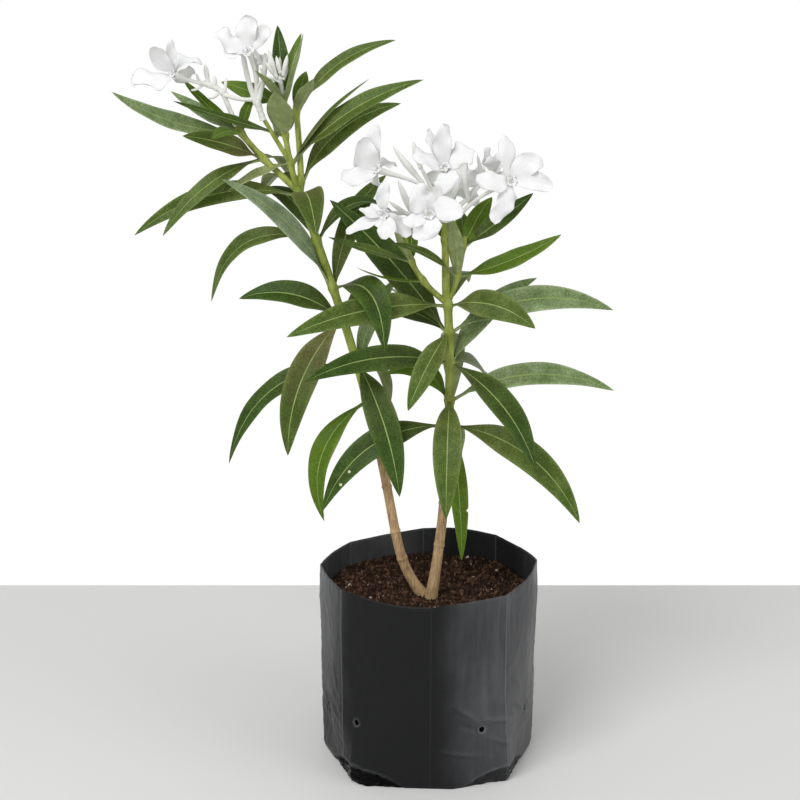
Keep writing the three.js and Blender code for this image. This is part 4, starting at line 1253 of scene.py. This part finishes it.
def makeSoil():
    count = bag["perFace"] * len(bag["creases"])
    rings = [[Vector((0, 0, mix["foot"] * mm))], bagRing(mix["foot"], count, 0.85)]
    rings += [bagRing(height, count, 0.95) for height in mix["wallLevels"]]
    for ring in range(mix["rings"]):
        share = 1 - ring / mix["rings"]
        row = []
        for i in range(count):
            out = heading(bagBearing(i / count)[0]) * (bagReach(i / count, mix["top"]) - mix["inset"]) * share
            out.z = mix["top"] + soilHeight(out.x, out.y, smooth(1 - share, 0, 0.1)) - mix["sink"]
            row.append(out * mm)
        rings.append(row)
    rings.append([Vector((0, 0, mix["top"] - mix["sink"])) * mm])
    piece = ringMesh("soilBed", rings, count)
    piece.data.materials.append(crumbFinish("pottingMix", *mix["bed"]))
    for name, density, smallest, largest, stretch, dark, light, seed in mix["scatters"]:
        carrier = newObject(name + "Bed", piece.data.copy())
        values = {"Density": float(density), "Smallest": smallest * mm, "Largest": largest * mm,
                  "Stretch": stretch, "Seed": seed}
        grains = grown(name, carrier, scatterTree(name, crumbFinish(name + "Tone", dark, light)), values)
        settle(grains, ["soil"])
    return settle(piece, ["soil"])


def scatterTree(name, coat):
    graph, inputs = growthTree(name + "Scatter", {
        "Density": "NodeSocketFloat", "Smallest": "NodeSocketFloat", "Largest": "NodeSocketFloat",
        "Stretch": "NodeSocketVector", "Seed": "NodeSocketInt",
    })
    facing = graph.part(graph.add("GeometryNodeInputNormal"), "Z")
    level = graph.part(graph.add("GeometryNodeInputPosition"), "Z")
    upper = (facing > 0.3) * (level > (mix["top"] - 12) * mm)
    feeds = {"Mesh": inputs["Geometry"], "Selection": upper, "Density": inputs["Density"], "Seed": inputs["Seed"]}
    points = graph.add("GeometryNodeDistributePointsOnFaces", {}, feeds)
    grain = graph.add("GeometryNodeMeshIcoSphere", {}, [1.0, 1])
    size = graph.add("FunctionNodeRandomValue", {"data_type": "FLOAT"},
                     {"Min": 0.0, "Max": 1.0, "Seed": inputs["Seed"]})
    scale = inputs["Smallest"] + (inputs["Largest"] - inputs["Smallest"]) * size ** 2.0
    spin = graph.add("FunctionNodeRandomValue", {"data_type": "FLOAT_VECTOR"},
                     {"Min": (0.0, 0.0, 0.0), "Max": (6.28, 6.28, 6.28), "Seed": inputs["Seed"]})
    spin = graph.add("FunctionNodeEulerToRotation", {}, [spin])
    feeds = {"Points": points, "Instance": grain, "Rotation": spin, "Scale": inputs["Stretch"] * scale}
    grains = graph.add("GeometryNodeInstanceOnPoints", {}, feeds)
    grains = graph.add("GeometryNodeRealizeInstances", {}, [grains])
    here = graph.add("GeometryNodeInputPosition")
    lumps = graph.add("ShaderNodeTexNoise", {}, {"Vector": here, "Scale": 700.0}, "Color")
    feeds = {"Geometry": grains, "Offset": (lumps - (0.5, 0.5, 0.5)) * (mix["lumps"] * mm)}
    grains = graph.add("GeometryNodeSetPosition", {}, feeds)
    grains = graph.add("GeometryNodeSetMaterial", {}, {"Geometry": grains, "Material": coat})
    graph.add("NodeGroupOutput", {}, [grains])
    return graph


def crumbFinish(name, dark, light):
    def build(graph):
        tone = graph.noise(graph.place(), 260.0, 3.0)
        fine = graph.noise(graph.place(), 1400.0, 3.0)
        return {"Base Color": graph.colours(dark, light, (tone * 0.8 + fine * 0.3).within(0.35, 0.75)),
                "Roughness": fine * 0.1 + 0.85, "Normal": graph.bump(fine, 0.0006, 0.8)}
    return finish(name, {"Specular IOR Level": 0.15}, build)


setStage()
print("stage set")
makeBag()
makeSoil()
print("bag and potting mix made")
makeLimbs()
print("stems and boughs made")
makeLeaves("leftLeaves", "left", 11)
makeLeaves("rightLeaves", "right", 12)
print("leaves made")
makeBlossom()
print("blossom made")
